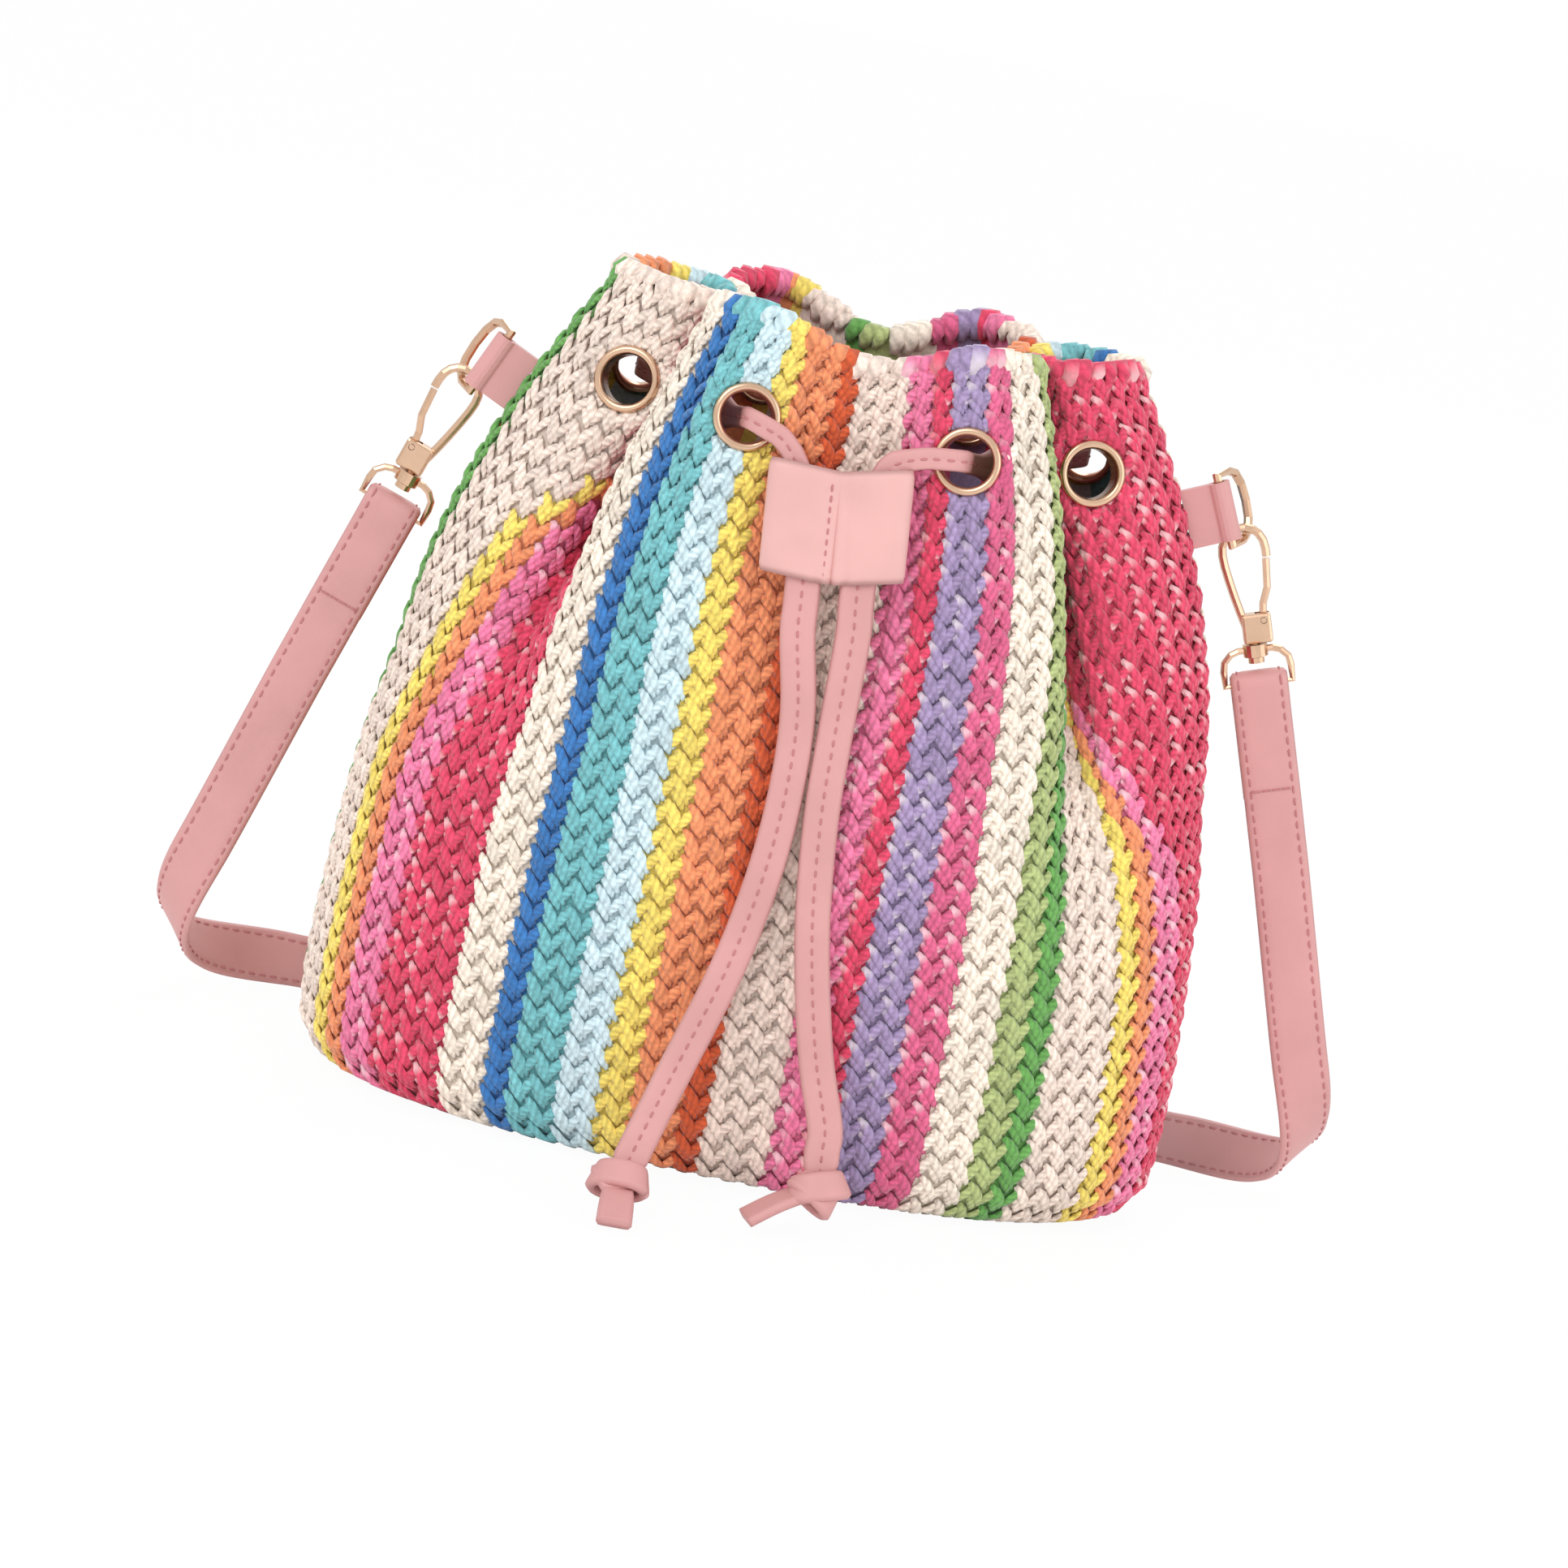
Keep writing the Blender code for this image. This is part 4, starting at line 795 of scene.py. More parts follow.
def yarn_look(name, colour, depth=1.0, plied=False, highlight_share=0.0):
    """Soft cotton yarn, whose tone differs from strand to strand and along its fibres.

    Plied yarn has the twist of its plies along each strand, as bumps and as painted shade in the
    grooves between the plies. In the listed yarns, some strands start pale with a painted highlight.
    A depth below 1 darkens the whole yarn: painted shade for the cloth in the hollows between the
    stitches, and a darker tone for the base.
    """
    look = Look(name, colour, 0.85)
    look.set("Sheen Weight", 0.25)
    look.set("Sheen Roughness", 0.5)
    look.set("Specular IOR Level", 0.25)
    island = look.add("ShaderNodeNewGeometry").outputs["Random Per Island"]
    # A depth below 1 darkens the whole yarn; for the cloth between the stitches it is painted shade in
    # the hollows
    dark, light = shaded(look.colour, 0.88 * depth), shaded(look.colour, 1.08 * depth)
    strand = look.ramp(island, dark, light, 0.0, 1.0)
    fibre = look.ramp(look.noise(900.0, 3.0), grey(0.82), grey(1.14))
    tone = look.mixed(1.0, strand, fibre, "MULTIPLY")
    if plied:
        run = look.add("ShaderNodeUVMap", uv_map="strand")
        plies = look.add("ShaderNodeTexWave", Scale=1.0, Distortion=1.6, Detail=2.0)
        plies.bands_direction = "DIAGONAL"
        look.link(run.outputs["UV"], plies.inputs["Vector"])
        # Painted shade and light: the yarn is darker in the grooves between its plies and a little
        # lighter on their crests
        ply_groove_shade = look.ramp(plies.outputs["Fac"], grey(0.80), grey(1.05), 0.0, 0.6)
        tone = look.mixed(1.0, tone, ply_groove_shade, "MULTIPLY")
        # Painted highlight: on about half of the strands, the first stretch is mixed halfway to a pale
        # pink
        ends = look.add("ShaderNodeSeparateXYZ")
        look.link(run.outputs["UV"], ends.inputs[0])
        highlight_end = look.ramp(ends.outputs["X"], grey(highlight_share), grey(0.0), 0.55, 1.00)
        some = look.ramp(island, grey(0.0), grey(1.0), 0.35, 0.65)
        tone = look.mixed(look.mixed(1.0, highlight_end, some, "MULTIPLY"), tone, PAINTED_HIGHLIGHT)
        look.bump(plies.outputs["Fac"], 0.00035, 0.6)
    else:
        look.bump(look.noise(1600.0, 2.0), 0.0004, 0.5)
    look.link(tone, look.shader.inputs["Base Color"])
    return look.material


def leather_look(name, colour, roughness=0.48):
    """Faux leather with a fine grain."""
    look = Look(name, colour, roughness)
    look.set("Specular IOR Level", 0.4)
    tone = look.ramp(look.noise(60.0), shaded(look.colour, 0.95), shaded(look.colour, 1.04))
    look.link(tone, look.shader.inputs["Base Color"])
    look.bump(look.noise(1800.0, 3.0), 0.00012, 0.35)
    return look.material


def metal_look(name, colour, roughness):
    look = Look(name, colour, roughness, 1.0)
    tone = look.ramp(look.noise(220.0), shaded(look.colour, 0.94), shaded(look.colour, 1.03))
    look.link(tone, look.shader.inputs["Base Color"])
    return look.material


# Meshes

def unit(vectors):
    """An array of directions at length 1."""
    return vectors / np.maximum(np.linalg.norm(vectors, axis=-1, keepdims=True), 1e-9)


def linked(name, data):
    """A new object in the scene."""
    made = bpy.data.objects.new(name, data)
    bpy.context.scene.collection.objects.link(made)
    return made


def on_bag(name, mesh):
    """A new piece on the bag's body."""
    made = linked(name, mesh)
    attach(made, "bag")
    return made


def add_piece(name, verts, faces, look):
    """A new closed piece from points and faces, with its faces turned outward."""
    mesh = bpy.data.meshes.new(name)
    mesh.from_pydata([tuple(v) for v in verts], [], faces)
    mesh.materials.append(look)
    mesh.polygons.foreach_set("use_smooth", np.ones(len(mesh.polygons), dtype=bool))
    turned = bmesh.new()
    turned.from_mesh(mesh)
    bmesh.ops.recalc_face_normals(turned, faces=turned.faces)
    turned.to_mesh(mesh)
    turned.free()
    return on_bag(name, mesh)


def add_big_piece(name, points, quads, looks, picks, uvs=None):
    """The same for large numpy arrays of points and quads."""
    mesh = bpy.data.meshes.new(name)
    mesh.vertices.add(len(points))
    mesh.vertices.foreach_set("co", points.astype(np.float32).ravel())
    mesh.loops.add(quads.size)
    mesh.loops.foreach_set("vertex_index", quads.astype(np.int32).ravel())
    mesh.polygons.add(len(quads))
    mesh.polygons.foreach_set("loop_start", np.arange(0, quads.size, 4, dtype=np.int32))
    for look in looks:
        mesh.materials.append(look)
    mesh.polygons.foreach_set("material_index", np.asarray(picks, dtype=np.int32))
    mesh.polygons.foreach_set("use_smooth", np.ones(len(quads), dtype=bool))
    if uvs is not None:
        mesh.uv_layers.new(name="strand").data.foreach_set("uv", uvs.astype(np.float32).ravel())
    mesh.update(calc_edges=True)
    mesh.validate()
    return on_bag(name, mesh)


def strand_uvs(steps, count):
    """Each quad corner's place along and round its strand, for the twist of its plies."""
    corners = []
    for step in range(steps - 1):
        for side in range(STRAND_SIDES):
            for ahead, beside in ((0, 0), (0, 1), (1, 1), (1, 0)):
                along_it = (step + ahead) / (steps - 1)
                corners.append((along_it * PLY_ALONG, (side + beside) / STRAND_SIDES * PLY_AROUND))
    corners += [(0.0, 0.0)] * (4 * (STRAND_SIDES - 2))
    return np.tile(np.array(corners), (count, 1))


def strands(centres, sideways, normals, half_widths, half_heights):
    """Points and quads of many tapered strands: arrays of (strand, step, xyz)."""
    count, steps, _ = centres.shape
    turn = np.linspace(0, 2 * math.pi, STRAND_SIDES, endpoint=False)
    cosine, sine = np.cos(turn)[:, None], np.sin(turn)[:, None]
    out = (sideways * half_widths[:, :, None])[:, :, None, :] * cosine
    up = (normals * half_heights[:, :, None])[:, :, None, :] * sine
    points = (centres[:, :, None, :] + out + up).reshape(-1, 3)
    quads = []
    for step in range(steps - 1):
        for side in range(STRAND_SIDES):
            here = step * STRAND_SIDES + side
            beside = step * STRAND_SIDES + (side + 1) % STRAND_SIDES
            quads.append((here, beside, beside + STRAND_SIDES, here + STRAND_SIDES))
    quads += [(3, 2, 1, 0), (5, 4, 3, 0)]
    last = (steps - 1) * STRAND_SIDES
    quads += [(last, last + 1, last + 2, last + 3), (last, last + 3, last + 4, last + 5)]
    quads = np.array(quads)
    firsts = np.arange(count)[:, None, None] * steps * STRAND_SIDES
    return points, (quads + firsts).reshape(-1, 4), len(quads)


# Crochet-look panels

def wall_grid(first):
    """The CAD's outer face over one panel, and its outward directions."""
    points = np.array([
        [wall(first + i / GRID_U, j / GRID_V) for j in range(GRID_V + 1)]
        for i in range(COLUMNS * GRID_U + 1)
    ])
    return points, unit(np.cross(np.gradient(points, axis=0), np.gradient(points, axis=1)))


def on_grid(grid, u, v):
    """Values of a grid at columns u and shares v, blended between its samples."""
    x = np.clip(u, EDGE_KEEP, COLUMNS - EDGE_KEEP) * GRID_U
    y = np.clip(v, 0.0, 1.0) * GRID_V
    i = np.minimum(x.astype(int), COLUMNS * GRID_U - 1)
    j = np.minimum(y.astype(int), GRID_V - 1)
    s, t = (x - i)[..., None], (y - j)[..., None]
    return (
        grid[i, j] * (1 - s) * (1 - t) + grid[i + 1, j] * s * (1 - t)
        + grid[i, j + 1] * (1 - s) * t + grid[i + 1, j + 1] * s * t
    )


def eyelets_of(first):
    """The eyelets of the panel that starts at a stitch column."""
    half = len(EYELETS) // 2
    return EYELETS[:half] if first == 0 else EYELETS[half:]


def round_eyelets(points, first, rim, lift):
    """Pushes points out of the eyelets' holes and down under their flanges."""
    for _, centre, normal in eyelets_of(first):
        offset = points - centre
        depth = offset @ normal
        flat = offset - depth[:, None] * normal
        away = np.linalg.norm(flat, axis=1)
        near = (away < NEAR_EYELET) & (np.abs(depth) < NEAR_FACE)
        pushed = np.where(near & (away < rim), rim / np.maximum(away, 1e-6), 1.0)
        flat = flat * pushed[:, None]
        away = np.where(near, np.maximum(away, rim), away)
        beside = np.clip((away - EYELET_FLANGE - FLANGE_SLACK) / FLANGE_REACH, 0.0, 1.0)
        depth = np.where(near, np.minimum(depth, lift + beside * YARN_RISE), depth)
        moved = centre + flat + depth[:, None] * normal
        points = np.where(near[:, None], moved, points)
    return points


def in_hole(points, first, radius):
    """Which points lie within a radius of an eyelet's axis, close to the wall."""
    inside = np.zeros(len(points), dtype=bool)
    for _, centre, normal in eyelets_of(first):
        offset = points - centre
        depth = offset @ normal
        away = np.linalg.norm(offset - depth[:, None] * normal, axis=1)
        inside |= (away < radius) & (np.abs(depth) < NEAR_FACE)
    return inside


def leg_strands(points, normals, leg, draws):
    """One leg of every stitch of a panel."""
    leg = np.array(leg)
    columns, levels = np.meshgrid(np.arange(COLUMNS), np.arange(STITCH_ROWS), indexing="ij")
    columns, levels = columns.ravel(), levels.ravel()
    shift_u = draws.normal(0, PLACE_SPREAD, len(columns))
    shift_v = draws.normal(0, PLACE_SPREAD, len(columns))
    swell = draws.uniform(*SWELL, len(columns))
    u = columns[:, None] + leg[None, :, 0] + shift_u[:, None]
    v = (levels[:, None] + leg[None, :, 1] + shift_v[:, None]) / STITCH_ROWS
    normal = unit(on_grid(normals, u, v))
    height = (leg[None, :, 2] * 0.001 - CLOTH_DEPTH) * swell[:, None]
    centres = on_grid(points, u, v) + normal * height[:, :, None]
    sideways = unit(np.cross(np.gradient(centres, axis=1), normal))
    widths = leg[None, :, 3] * PITCH * swell[:, None]
    made, quads, each = strands(centres, sideways, normal, widths, widths * STRAND_FLATNESS)
    return made, quads, each, columns, levels


def yarn_at(column, share):
    """Yarn at a place of the wall, with the stripes drawn together where the front folds."""
    for foot, top, (low, high) in (LEFT_FOLD, RIGHT_FOLD):
        if foot[0] <= column <= foot[-1]:
            drawn = smooth_step((share - low) / (high - low))
            edges = [a + drawn * (b - a) for a, b in zip(foot, top)]
            return stripe_at(float(np.interp(column, edges, foot)))
    return stripe_at(column)


def yarn_numbers(columns, levels, shift, first, draws):
    """Yarn of each stitch's leg, with now and then a neighbour's where two stripes meet."""
    places = first + columns + shift + draws.normal(0, BORDER_SPREAD, len(columns))
    return np.array([yarn_at(place, row / STITCH_ROWS) for place, row in zip(places, levels)])


def add_stitches(name, first, grids, looks, seed, legs):
    """One or more strands of every stitch of a panel's outer face."""
    draws = np.random.RandomState(seed)
    parts, quads, picks, offset = [], [], [], 0
    for leg, shift in legs:
        made, faces, each, columns, levels = leg_strands(*grids, leg, draws)
        yarn = yarn_numbers(columns, levels, shift, first, draws)
        middle = made.reshape(len(columns), -1, 3).mean(axis=1)
        keep = ~in_hole(middle, first, EYELET_HOLE)
        faces = faces.reshape(len(columns), each, 4)[keep]
        parts.append(made)
        quads.append(faces.reshape(-1, 4) + offset)
        picks.append(np.repeat(yarn[keep], each))
        offset += len(made)
    points = round_eyelets(np.concatenate(parts), first, HOLE_IN_STITCHES, GAP / 3)
    picks = np.concatenate(picks)
    uvs = strand_uvs(len(LONG_LEG), len(picks) // each)
    piece = add_big_piece(name, points, np.concatenate(quads), looks, picks, uvs)
    return piece


def cloth_edges(nu, nv):
    """Quads between the cloth's outer and inner faces, along its rim, foot and two sides."""
    total = nu * nv
    rim = np.arange(nu - 1) * nv + nv - 1
    foot = np.arange(nu - 1) * nv
    left = np.arange(nv - 1)
    right = (nu - 1) * nv + left
    return [
        np.stack([rim, rim + nv, rim + nv + total, rim + total], axis=1),
        np.stack([foot + nv, foot, foot + total, foot + nv + total], axis=1),
        np.stack([left, left + 1, left + 1 + total, left + total], axis=1),
        np.stack([right + 1, right, right + total, right + 1 + total], axis=1),
    ]


def add_cloth(name, first, grids, looks):
    """The cloth under the stitches, with its inner face and turned rim."""
    points, normals = grids
    edge = SEAM_GAP / 2 / PITCH
    columns = np.linspace(edge, COLUMNS - edge, COLUMNS * CLOTH_STEPS + 1)
    shares = np.linspace(0, 1, GRID_V + 1)
    u, v = np.meshgrid(columns, shares, indexing="ij")
    surface = on_grid(points, u, v)
    normal = unit(on_grid(normals, u, v))
    dip = COLUMN_DIP * (0.5 + 0.5 * np.cos(2 * math.pi * u))
    outer = surface - normal * (CLOTH_DEPTH + dip[..., None])
    ripple = INNER_RIPPLE * np.sin(2 * math.pi * u) * np.sin(2 * math.pi * v * STITCH_ROWS)
    inner = surface - normal * (FABRIC - INNER_RIPPLE / 2 + ripple[..., None])
    nu, nv = u.shape
    outer = round_eyelets(outer.reshape(-1, 3), first, HOLE_IN_CLOTH, 0.0)
    inner = round_eyelets(inner.reshape(-1, 3), first, HOLE_IN_CLOTH, 0.0)
    i, j = np.meshgrid(np.arange(nu - 1), np.arange(nv - 1), indexing="ij")
    a = (i * nv + j).ravel()
    front = np.stack([a, a + nv, a + nv + 1, a + 1], axis=1)
    hole = in_hole(outer, first, HOLE_IN_CLOTH + 0.00005)
    solid = ~hole[front].all(axis=1)
    back = front[:, ::-1] + nu * nv
    yarn = np.array([
        yarn_at(first + c, share) for c in (columns[:-1] + columns[1:]) / 2 for share in shares[:-1]
    ])
    quads = np.concatenate([front[solid], back[solid], *cloth_edges(nu, nv)])
    picks = np.concatenate([
        yarn[solid], yarn[solid], yarn[nv - 2 :: nv - 1], yarn[:: nv - 1],
        np.full(nv - 1, yarn[0]), np.full(nv - 1, yarn[-1]),
    ])
    return add_big_piece(name, np.concatenate([outer, inner]), quads, looks, picks)


def add_rim(name, first, grids, looks, seed):
    """Loops of yarn that turn over the mouth's edge."""
    draws = np.random.RandomState(seed)
    points, normals = grids
    path = np.array(RIM_LOOP)
    columns = np.arange(0, COLUMNS, RIM_PITCH)
    u = columns[:, None] + path[None, :, 0] + draws.normal(0, RIM_SPREAD, (len(columns), 1))
    top = on_grid(points, u, np.ones_like(u))
    below = on_grid(points, u, np.full_like(u, BELOW_RIM))
    up = unit(top - below)
    normal = unit(on_grid(normals, u, np.ones_like(u)))
    swell = draws.uniform(*RIM_SWELL, (len(columns), 1, 1))
    centres = top + up * path[None, :, 1:2] * swell + normal * path[None, :, 2:3]
    across = unit(np.cross(up, normal))
    sideways = unit(np.cross(unit(np.gradient(centres, axis=1)), across))
    widths = path[None, :, 3] * PITCH * swell[:, :, 0]
    made, quads, each = strands(centres, across, sideways, widths, widths * 0.6)
    yarn = np.array([yarn_at(first + c + 0.4, 1.0) for c in columns])
    uvs = strand_uvs(len(path), len(columns))
    return add_big_piece(name, made, quads, looks, np.repeat(yarn, each), uvs)


# Sewn leather

def section(width, thickness, grooves=(), groove_depth=GROOVE_DEPTH, steps=18):
    """Closed cross-section of a flat strip: rounded edges, and grooves where it is sewn."""
    def half(side):
        row = []
        for share in np.linspace(-1, 1, steps):
            x = share * width / 2
            y = thickness / 2 * max(1 - abs(share) ** 7, 0.0) ** (1 / 3)
            dip = sum(groove_depth * math.exp(-(((x - g) / GROOVE_WIDTH) ** 2)) for g in grooves)
            row.append((x, side * max(y - dip, 0.0)))
        return row
    top, bottom = half(1), half(-1)
    return top + bottom[-2:0:-1]


def finer(stations, times):
    """Stations with more steps between, on smooth curves."""
    points = [tuple(p) for p, _ in stations]
    across = [tuple(a) for _, a in stations]
    count = (len(stations) - 1) * times + 1
    return [
        (Vector(p), Vector(a))
        for p, a in zip(curve_points(points, count), curve_points(across, count))
    ]


def station_axes(stations):
    """Arrays of places, width directions, through directions and width shares."""
    points = np.array([tuple(p) for p, _ in stations])
    wide = np.array([tuple(a) for _, a in stations])
    share = np.linalg.norm(wide, axis=1)
    run = unit(np.gradient(points, axis=0))
    wide = unit(wide - (wide * run).sum(axis=1, keepdims=True) * run)
    return points, wide, np.cross(run, wide), share


def sweep(name, stations, outline, look):
    """A solid swept along stations from a closed outline of (across, through) places."""
    points, wide, through, share = station_axes(stations)
    outline = np.array(outline)
    rings = (
        points[:, None, :]
        + wide[:, None, :] * (outline[None, :, 0:1] * share[:, None, None])
        + through[:, None, :] * outline[None, :, 1:2]
    )
    count, sides = len(stations), len(outline)
    faces = []
    for i in range(count - 1):
        for k in range(sides):
            n = (k + 1) % sides
            faces.append((i * sides + k, i * sides + n, (i + 1) * sides + n, (i + 1) * sides + k))
    faces.append(tuple(range(sides))[::-1])
    faces.append(tuple((count - 1) * sides + k for k in range(sides)))
    return add_piece(name, rings.reshape(-1, 3), faces, look)


def seam(name, stations, offset, height, look, pitch=STITCH_PITCH, skip=0.0):
    """Thread stitches along both faces of a strip, at an offset from its middle."""
    points, wide, through, share = station_axes(stations)
    line = points + wide * (offset * share)[:, None]
    length = np.concatenate([[0], np.cumsum(np.linalg.norm(np.diff(line, axis=0), axis=1))])
    middles = np.arange(skip + pitch / 2, length[-1] - skip - pitch / 2, pitch)
    at = middles[:, None] + np.linspace(-0.5, 0.5, len(STITCH_ARCH))[None, :] * STITCH_LENGTH

    def along_stitches(values):
        return np.stack([np.interp(at, length, values[:, k]) for k in range(3)], axis=2)

    rise = (height + np.array(STITCH_ARCH))[None, :, None]
    widths = np.full(at.shape, THREAD_RADIUS * 1.25)
    parts, quads, made_before = [], [], 0
    for face in (1, -1):
        normal = face * along_stitches(through)
        centres = along_stitches(line) + normal * rise
        made, faces, _ = strands(centres, along_stitches(wide), normal, widths, widths * 0.8)
        parts.append(made)
        quads.append(faces + made_before)
        made_before += len(made)
    quads = np.concatenate(quads)
    return add_big_piece(name, np.concatenate(parts), quads, [look], np.zeros(len(quads)))


def add_strap(leather, thread):
    """Shoulder strap with a rounded edge and a row of stitches along each side."""
    right = strap_half()
    flip = Vector((-1, 1, 1))
    left = [(p * flip, across * flip) for p, across in right]
    stations = finer(left + right[-2::-1], 2)
    inset = STRAP_WIDTH / 2 - STRAP_INSET
    outline = section(STRAP_WIDTH, STRAP_THICKNESS, (inset, -inset))
    strap = sweep("strap_leather", stations, outline, leather)
    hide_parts("shoulder_strap")
    for number, offset in enumerate((inset, -inset)):
        height = STRAP_THICKNESS / 2 - THREAD_SET
        row = seam(f"strap_seam_{number}", stations, offset, height, thread, skip=0.006)
    for side in (-1, 1):
        add_cross_row(side, thread)


def add_cross_row(side, thread):
    """The row across the strap that sews its folded end down."""
    frame = hook_frame(side)
    out, up = frame.col[0].to_3d(), frame.col[2].to_3d()
    bar = frame @ Vector((0, 0, -LOOP_DROP))
    face = STRAP_THICKNESS + 0.00028
    middle = bar - up * (STRAP_FOLD * 0.92) + Vector((0, -face, 0))
    reach = STRAP_WIDTH / 2 - CROSS_INSET
    stations = [(middle + out * x, up) for x in np.linspace(-reach, reach, 8)]
    row = seam(f"strap_end_seam_{side}", stations, 0.0, 0.0, thread, pitch=FINE_PITCH)


def add_cords(leather, thread):
    """The drawcord's held run, and its two free tails with their knots."""
    outline = section(CORD_WIDTH, CORD_THICKNESS, (0.0,), CORD_GROOVE, 14)
    left, right = cord_side(-1), cord_side(1)
    held = finer(left + [(point, -across) for point, across in right[-2::-1]], 2)
    cord = sweep("drawcord_leather", held, outline, leather)
    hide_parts("drawcord")
    row = seam("drawcord_seam", held, 0.0, CORD_THICKNESS / 2 - THREAD_SET, thread)
    for name, side, route, knot in (
        ("left", -1, TAIL_LEFT, KNOT_LEFT),
        ("right", 1, TAIL_RIGHT, KNOT_RIGHT),
    ):
        stations = finer(tail_stations(side, route, knot[0]), 2)
        tail_end = stations[-1][0]
        stations += gathered_end(stations[-1], Vector(knot[0]))
        tail = sweep(f"tail_{name}", stations, outline, leather)
        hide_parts(f"cord_tail_{name}")
        row = seam(f"tail_seam_{name}", stations, 0.0, CORD_THICKNESS / 2 - THREAD_SET, thread)
        lump = add_knot(name, knot, tail_end, leather)


def gathered_end(last, centre):
    """The tail's last stretch, which narrows on its way into the knot."""
    place, across = last
    return [
        (place.lerp(centre, share), across * (1 - KNOT_GATHER * share))
        for share in (0.25, 0.5, 0.75, 1.0)
    ]


def knot_turn(place, wide, deep, tilt, shift):
    """Stations of one turn of the cord round the knot, tilted about the knot's depth."""
    loop = []
    turn = place @ Matrix.Rotation(tilt, 4, "Y")
    for angle in np.linspace(0, 2 * math.pi, 29):
        c, s = math.cos(angle), math.sin(angle)
        across = turn.to_3x3() @ Vector((0.30 * c, 0.12 * s, 1))
        loop.append((turn @ Vector((wide * c, deep * s, shift)), across.normalized()))
    return loop


def add_knot(name, knot, tail_end, leather):
    """Overhand knot: two turns of the flat cord over each other, and the cut end below them."""
    centre, tip = Vector(knot[0]), Vector(knot[1])
    place = upright_frame(centre, centre - Vector(tail_end))
    pieces = []
    for number, (*turn, band) in enumerate(KNOT_TURNS):
        outline = section(band, CORD_THICKNESS, steps=12)
        loop = knot_turn(place, *turn)
        pieces.append(sweep(f"knot_turn_{name}_{number}", loop, outline, leather))
    level = Vector((0, 0, 1)).cross(tip - centre).normalized()
    mid = centre.lerp(tip, 0.55) + Vector((0, 0, TIP_ARCH))
    end = finer([(centre, level * 0.8), (mid, level * 0.96), (tip, level)], 6)
    outline = section(CORD_WIDTH, CORD_THICKNESS, steps=14)
    pieces.append(sweep(f"knot_tip_{name}", end, outline, leather))
    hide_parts(f"cord_knot_{name}")
    return pieces


def sagged(x):
    """How far the slider's leather sinks at a place across it, most in its middle."""
    return SLIDER_SAG * (abs(x) / (SLIDER_WIDTH / 2) - 1)


def add_slider(leather):
    """The cord stop: two channels of folded leather that meet at the middle seam."""
    half, wall_half = SLIDER_WIDTH / 2, SLIDER_WALL / 2
    # A channel's front, from the middle crease to its outer edge: place across and depth
    top = (
        (wall_half * 0.6, SLIDER_PINCH), (0.14 * half, SLIDER_HALF_DEPTH * 0.80 - wall_half),
        (0.32 * half, SLIDER_HALF_DEPTH - wall_half), (0.70 * half, SLIDER_HALF_DEPTH - wall_half),
        (0.90 * half, SLIDER_HALF_DEPTH * 0.72 - wall_half), (half - wall_half, 0.0),
    )
    ring = list(top) + [(x, -y) for x, y in reversed(top[:-1])]
    height = slider_frame().to_3x3() @ Vector((0, 0, 1))
    for side, name in ((-1, "left"), (1, "right")):
        loop = [round_ring(ring, len(ring) * i / 60) for i in range(61)]
        stations = [(slider_place(side * x, sagged(x), y), height) for x, y in loop]
        outline = section(SLIDER_HEIGHT, SLIDER_WALL, steps=16)
        tube = sweep(f"slider_{name}", stations, outline, leather)
        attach(tube, "slider")
        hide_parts("cord_slider")


def add_slider_seam(thread):
    """Stitches down the middle of the cord stop, front and back."""
    heights = np.linspace(-SLIDER_HEIGHT / 2, SLIDER_HEIGHT / 2, 12) + sagged(SLIDER_SEAM)
    points = [slider_place(-SLIDER_SEAM, z) for z in heights]
    stations = stations_of(points, [slider_across()] * len(points))
    height = SLIDER_HALF_DEPTH * 0.76
    row = seam("slider_seam", stations, 0.0, height, thread, pitch=FINE_PITCH, skip=0.0008)
    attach(row, "slider")


# Eyelets

def turned_ring(name, outline, place, look):
    """A ring turned from a closed outline of (radius, height) places."""
    points = [
        place @ Vector((r * math.cos(a), r * math.sin(a), z))
        for a in np.linspace(0, 2 * math.pi, EYELET_TURNS, endpoint=False)
        for r, z in outline
    ]
    count = len(outline)
    faces = []
    for i in range(EYELET_TURNS):
        here, ahead = i * count, (i + 1) % EYELET_TURNS * count
        for k in range(count):
            n = (k + 1) % count
            faces.append((here + k, ahead + k, ahead + n, here + n))
    piece = add_piece(name, points, faces, look)
    return piece


def add_eyelets(gold):
    """Rounded grommets, each with its washer behind the fabric."""
    barrel = EYELET_HOLE + EYELET_WALL
    foot = -(FABRIC + WASHER_SLACK + WASHER_THICKNESS)
    middle, half = (EYELET_HOLE + EYELET_FLANGE) / 2, (EYELET_FLANGE - EYELET_HOLE) / 2
    crown = [
        (middle - half * math.cos(a), GAP + (EYELET_RISE - GAP) * math.sin(a))
        for a in np.linspace(0, math.pi, 11)
    ]
    grommet = [
        (EYELET_HOLE, foot - BARREL_PAST), *crown, (EYELET_FLANGE - GAP, GAP), (barrel, GAP),
        (barrel, foot - GAP), (barrel + ROLL_OUT, foot - ROLL_DROP),
    ]
    inner = barrel + GAP
    washer = [
        (inner, foot), (inner, foot + WASHER_THICKNESS),
        (WASHER_RADIUS, foot + WASHER_THICKNESS), (WASHER_RADIUS, foot),
    ]
    for number, (_, centre, normal) in enumerate(EYELETS, 1):
        place = upright_frame(centre, normal)
        ring = turned_ring(f"grommet_{number}", grommet, place, gold)
        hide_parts(f"eyelet_{number}")
        back = turned_ring(f"washer_{number}", washer, place, gold)
        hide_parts(f"eyelet_washer_{number}")


# Stage

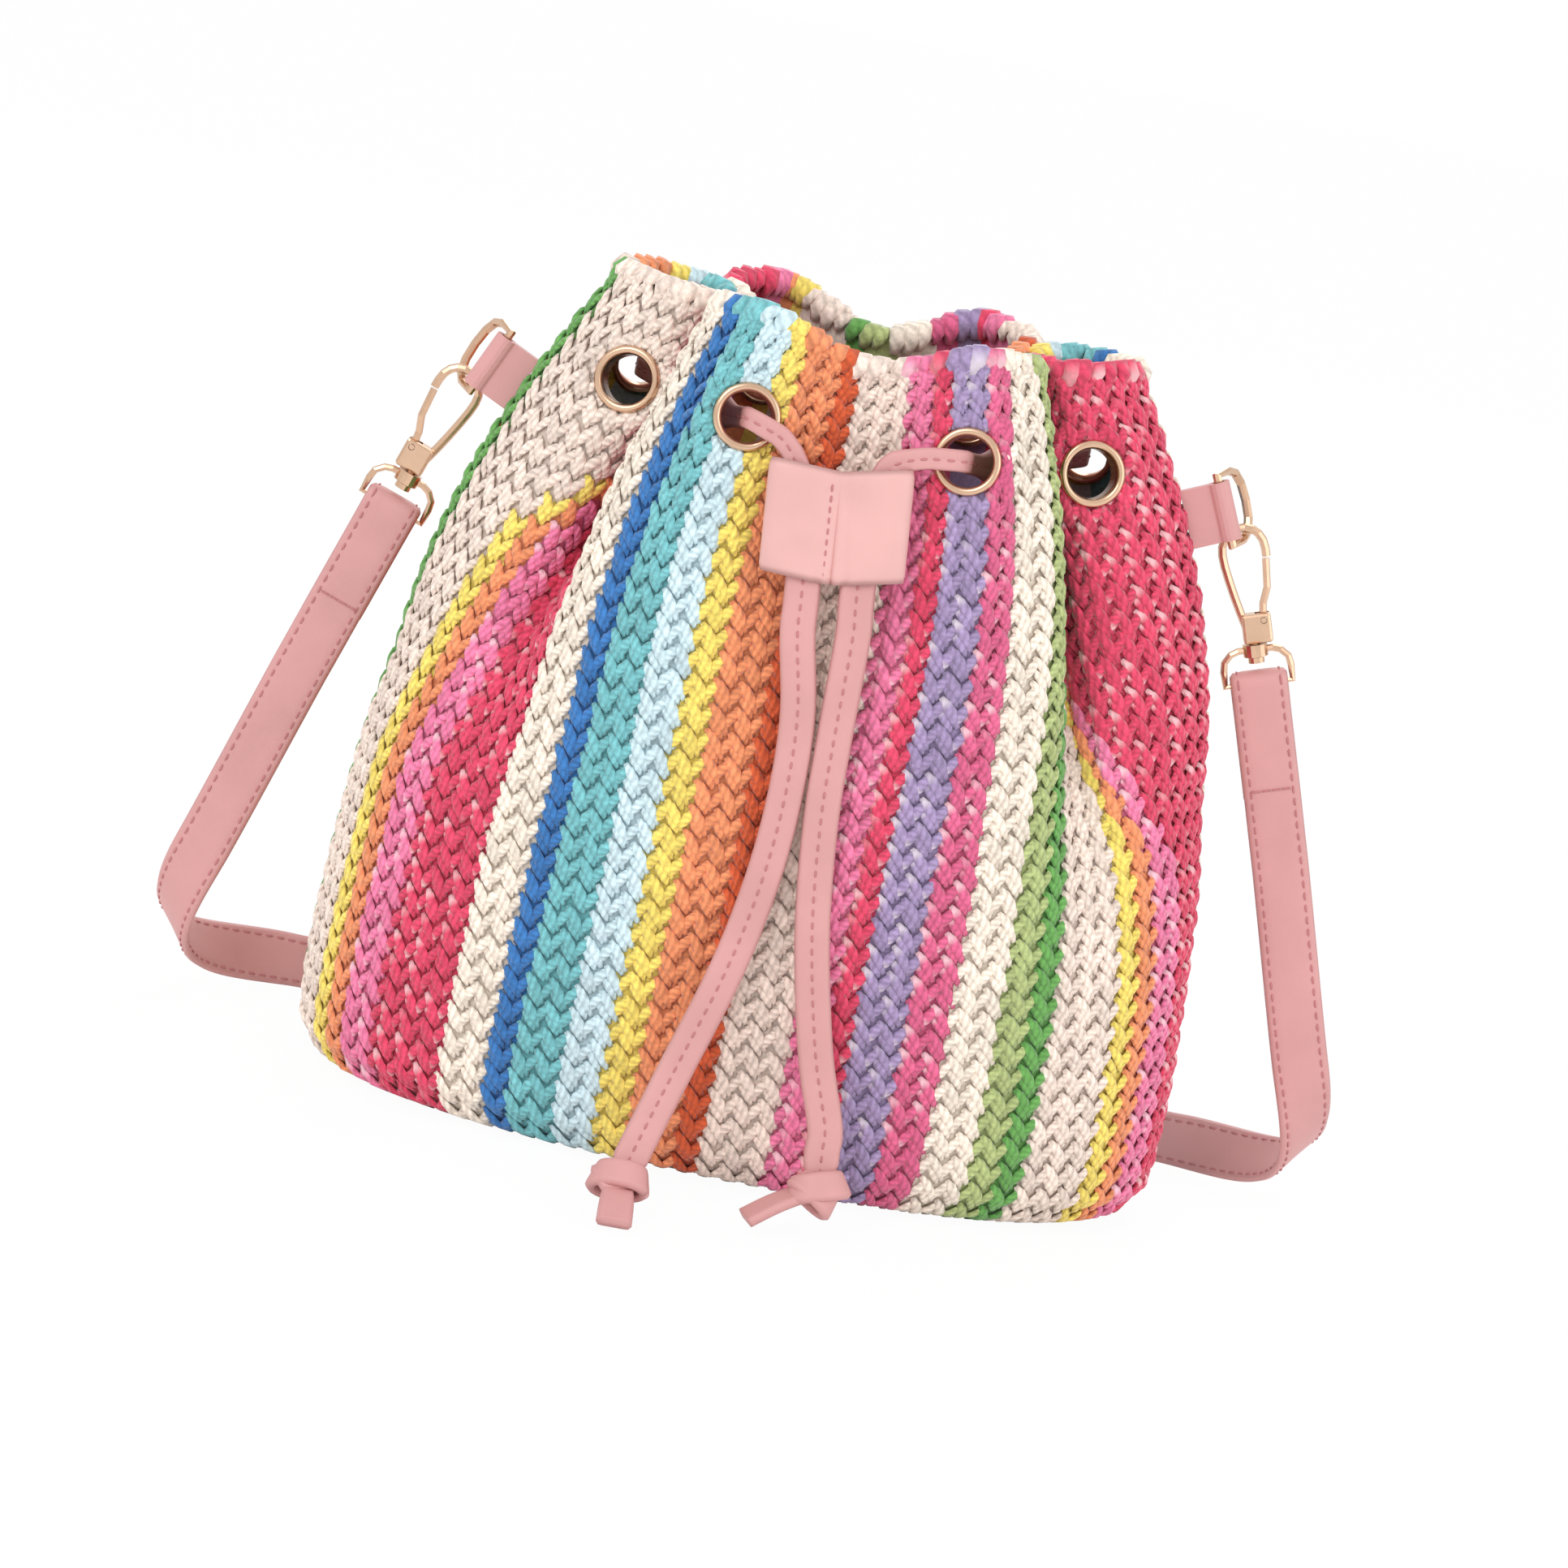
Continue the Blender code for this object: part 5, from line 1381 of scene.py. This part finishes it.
def add_camera():
    data = bpy.data.cameras.new("camera")
    data.sensor_width = 36
    data.lens = FOCAL * data.sensor_width / IMAGE
    camera = linked("camera", data)
    away = Vector((0, -math.cos(CAMERA_ELEVATION), math.sin(CAMERA_ELEVATION)))
    tilt = Matrix.Rotation(math.pi / 2 - CAMERA_ELEVATION, 4, "X")
    turn = tilt @ Matrix.Rotation(CAMERA_ROLL, 4, "Z")
    camera.matrix_world = Matrix.Translation(Vector(CAMERA_TARGET) + away * CAMERA_DISTANCE) @ turn
    bpy.context.scene.camera = camera


def add_lamp(name, place, size, power):
    data = bpy.data.lights.new(name, "AREA")
    data.shape = "SQUARE"
    data.size = size
    data.energy = power
    lamp = linked(name, data)
    toward = (Vector(LAMP_TARGET) - Vector(place)).normalized()
    turn = toward.to_track_quat("-Z", "Y").to_matrix().to_4x4()
    lamp.matrix_world = Matrix.Translation(place) @ turn


def seen_white(tree, shader, share):
    """Mixes in plain white where the camera looks straight at a surface."""
    path = tree.nodes.new("ShaderNodeLightPath")
    glow = tree.nodes.new("ShaderNodeEmission")
    mix = tree.nodes.new("ShaderNodeMixShader")
    scale = tree.nodes.new("ShaderNodeMath")
    scale.operation = "MULTIPLY"
    scale.inputs[1].default_value = share
    tree.links.new(path.outputs["Is Camera Ray"], scale.inputs[0])
    tree.links.new(scale.outputs[0], mix.inputs["Fac"])
    tree.links.new(shader, mix.inputs[1])
    tree.links.new(glow.outputs[0], mix.inputs[2])
    return mix.outputs[0]


def add_floor():
    mesh = bpy.data.meshes.new("floor")
    corners = [(x * FLOOR_HALF, y * FLOOR_HALF, 0) for x, y in ((-1, -1), (1, -1), (1, 1), (-1, 1))]
    mesh.from_pydata(corners, [], [(0, 1, 2, 3)])
    floor = linked("floor", mesh)
    floor.location.z = -FLOOR_DROP
    look = Look("floor", (244, 244, 244), 0.9)
    out = look.tree.nodes["Material Output"]
    look.link(seen_white(look.tree, look.shader.outputs[0], FLOOR_WHITE), out.inputs["Surface"])
    mesh.materials.append(look.material)


def add_stage():
    world = bpy.data.worlds.new("studio")
    bpy.context.scene.world = world
    world.use_nodes = True
    tree = world.node_tree
    sky = tree.nodes["Background"]
    sky.inputs["Color"].default_value = (1, 1, 1, 1)
    sky.inputs["Strength"].default_value = SKY_STRENGTH
    seen = seen_white(tree, sky.outputs[0], 1.0)
    tree.links.new(seen, tree.nodes["World Output"].inputs["Surface"])
    add_floor()
    for name, (place, size, power) in LAMPS.items():
        add_lamp(name, place, size, power)
    bpy.context.scene.view_settings.view_transform = "Standard"


def dress_cad(node, look):
    """Gives a CAD node its material."""
    thing = bpy.data.objects[node]
    thing.data.materials.clear()
    thing.data.materials.append(look)


def main():
    add_camera()
    pink = leather_look("pink_faux_leather", LEATHER)
    pale = leather_look("slider_faux_leather", SLIDER_LEATHER, 0.42)
    thread = leather_look("sewing_thread", THREAD, 0.7)
    gold = metal_look("pale_gold", GOLD, 0.24)
    add_cords(pink, thread)
    # The listed yarns get a painted highlight at the start of some strands
    yarns = [
        yarn_look(f"yarn_{name}", colour, 1.0, True, 0.5 if name in HIGHLIGHTED_YARNS else 0.0)
        for name, colour in YARN.items()
    ]
    # The cloth between the stitches at 0.80 of its yarn's colour: painted shade in the hollows between
    # them
    painted_shade_grounds = [yarn_look(f"cloth_{name}", colour, 0.80) for name, colour in YARN.items()]
    for name, first, seed in (("front", 0, SEED), ("back", COLUMNS, SEED + 1)):
        grids = wall_grid(first)
        legs = ((LONG_LEG, 0.25), (SHORT_LEG, 0.75))
        add_stitches(f"{name}_stitches", first, grids, yarns, seed, legs)
        add_stitches(f"{name}_under_stitches", first, grids, yarns, seed + 2, ((UNDER_LEG, 0.25),))
        cloth = add_cloth(f"{name}_cloth", first, grids, painted_shade_grounds)
        rim = add_rim(f"{name}_rim", first, grids, yarns, seed)
        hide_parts(f"{name}_panel")
    add_strap(pink, thread)
    lining = yarn_look("base_cloth", YARN["beige"], 0.9)
    dress_cad("base_panel", lining)
    add_slider(pale)
    add_slider_seam(thread)
    for side in ("left", "right"):
        dress_cad(f"side_tab_{side}", pink)
        for node in ("d_ring", "hook", "gate", "gate_pin", "swivel_loop"):
            dress_cad(f"{node}_{side}", gold)
    add_eyelets(gold)
    add_stage()


main()
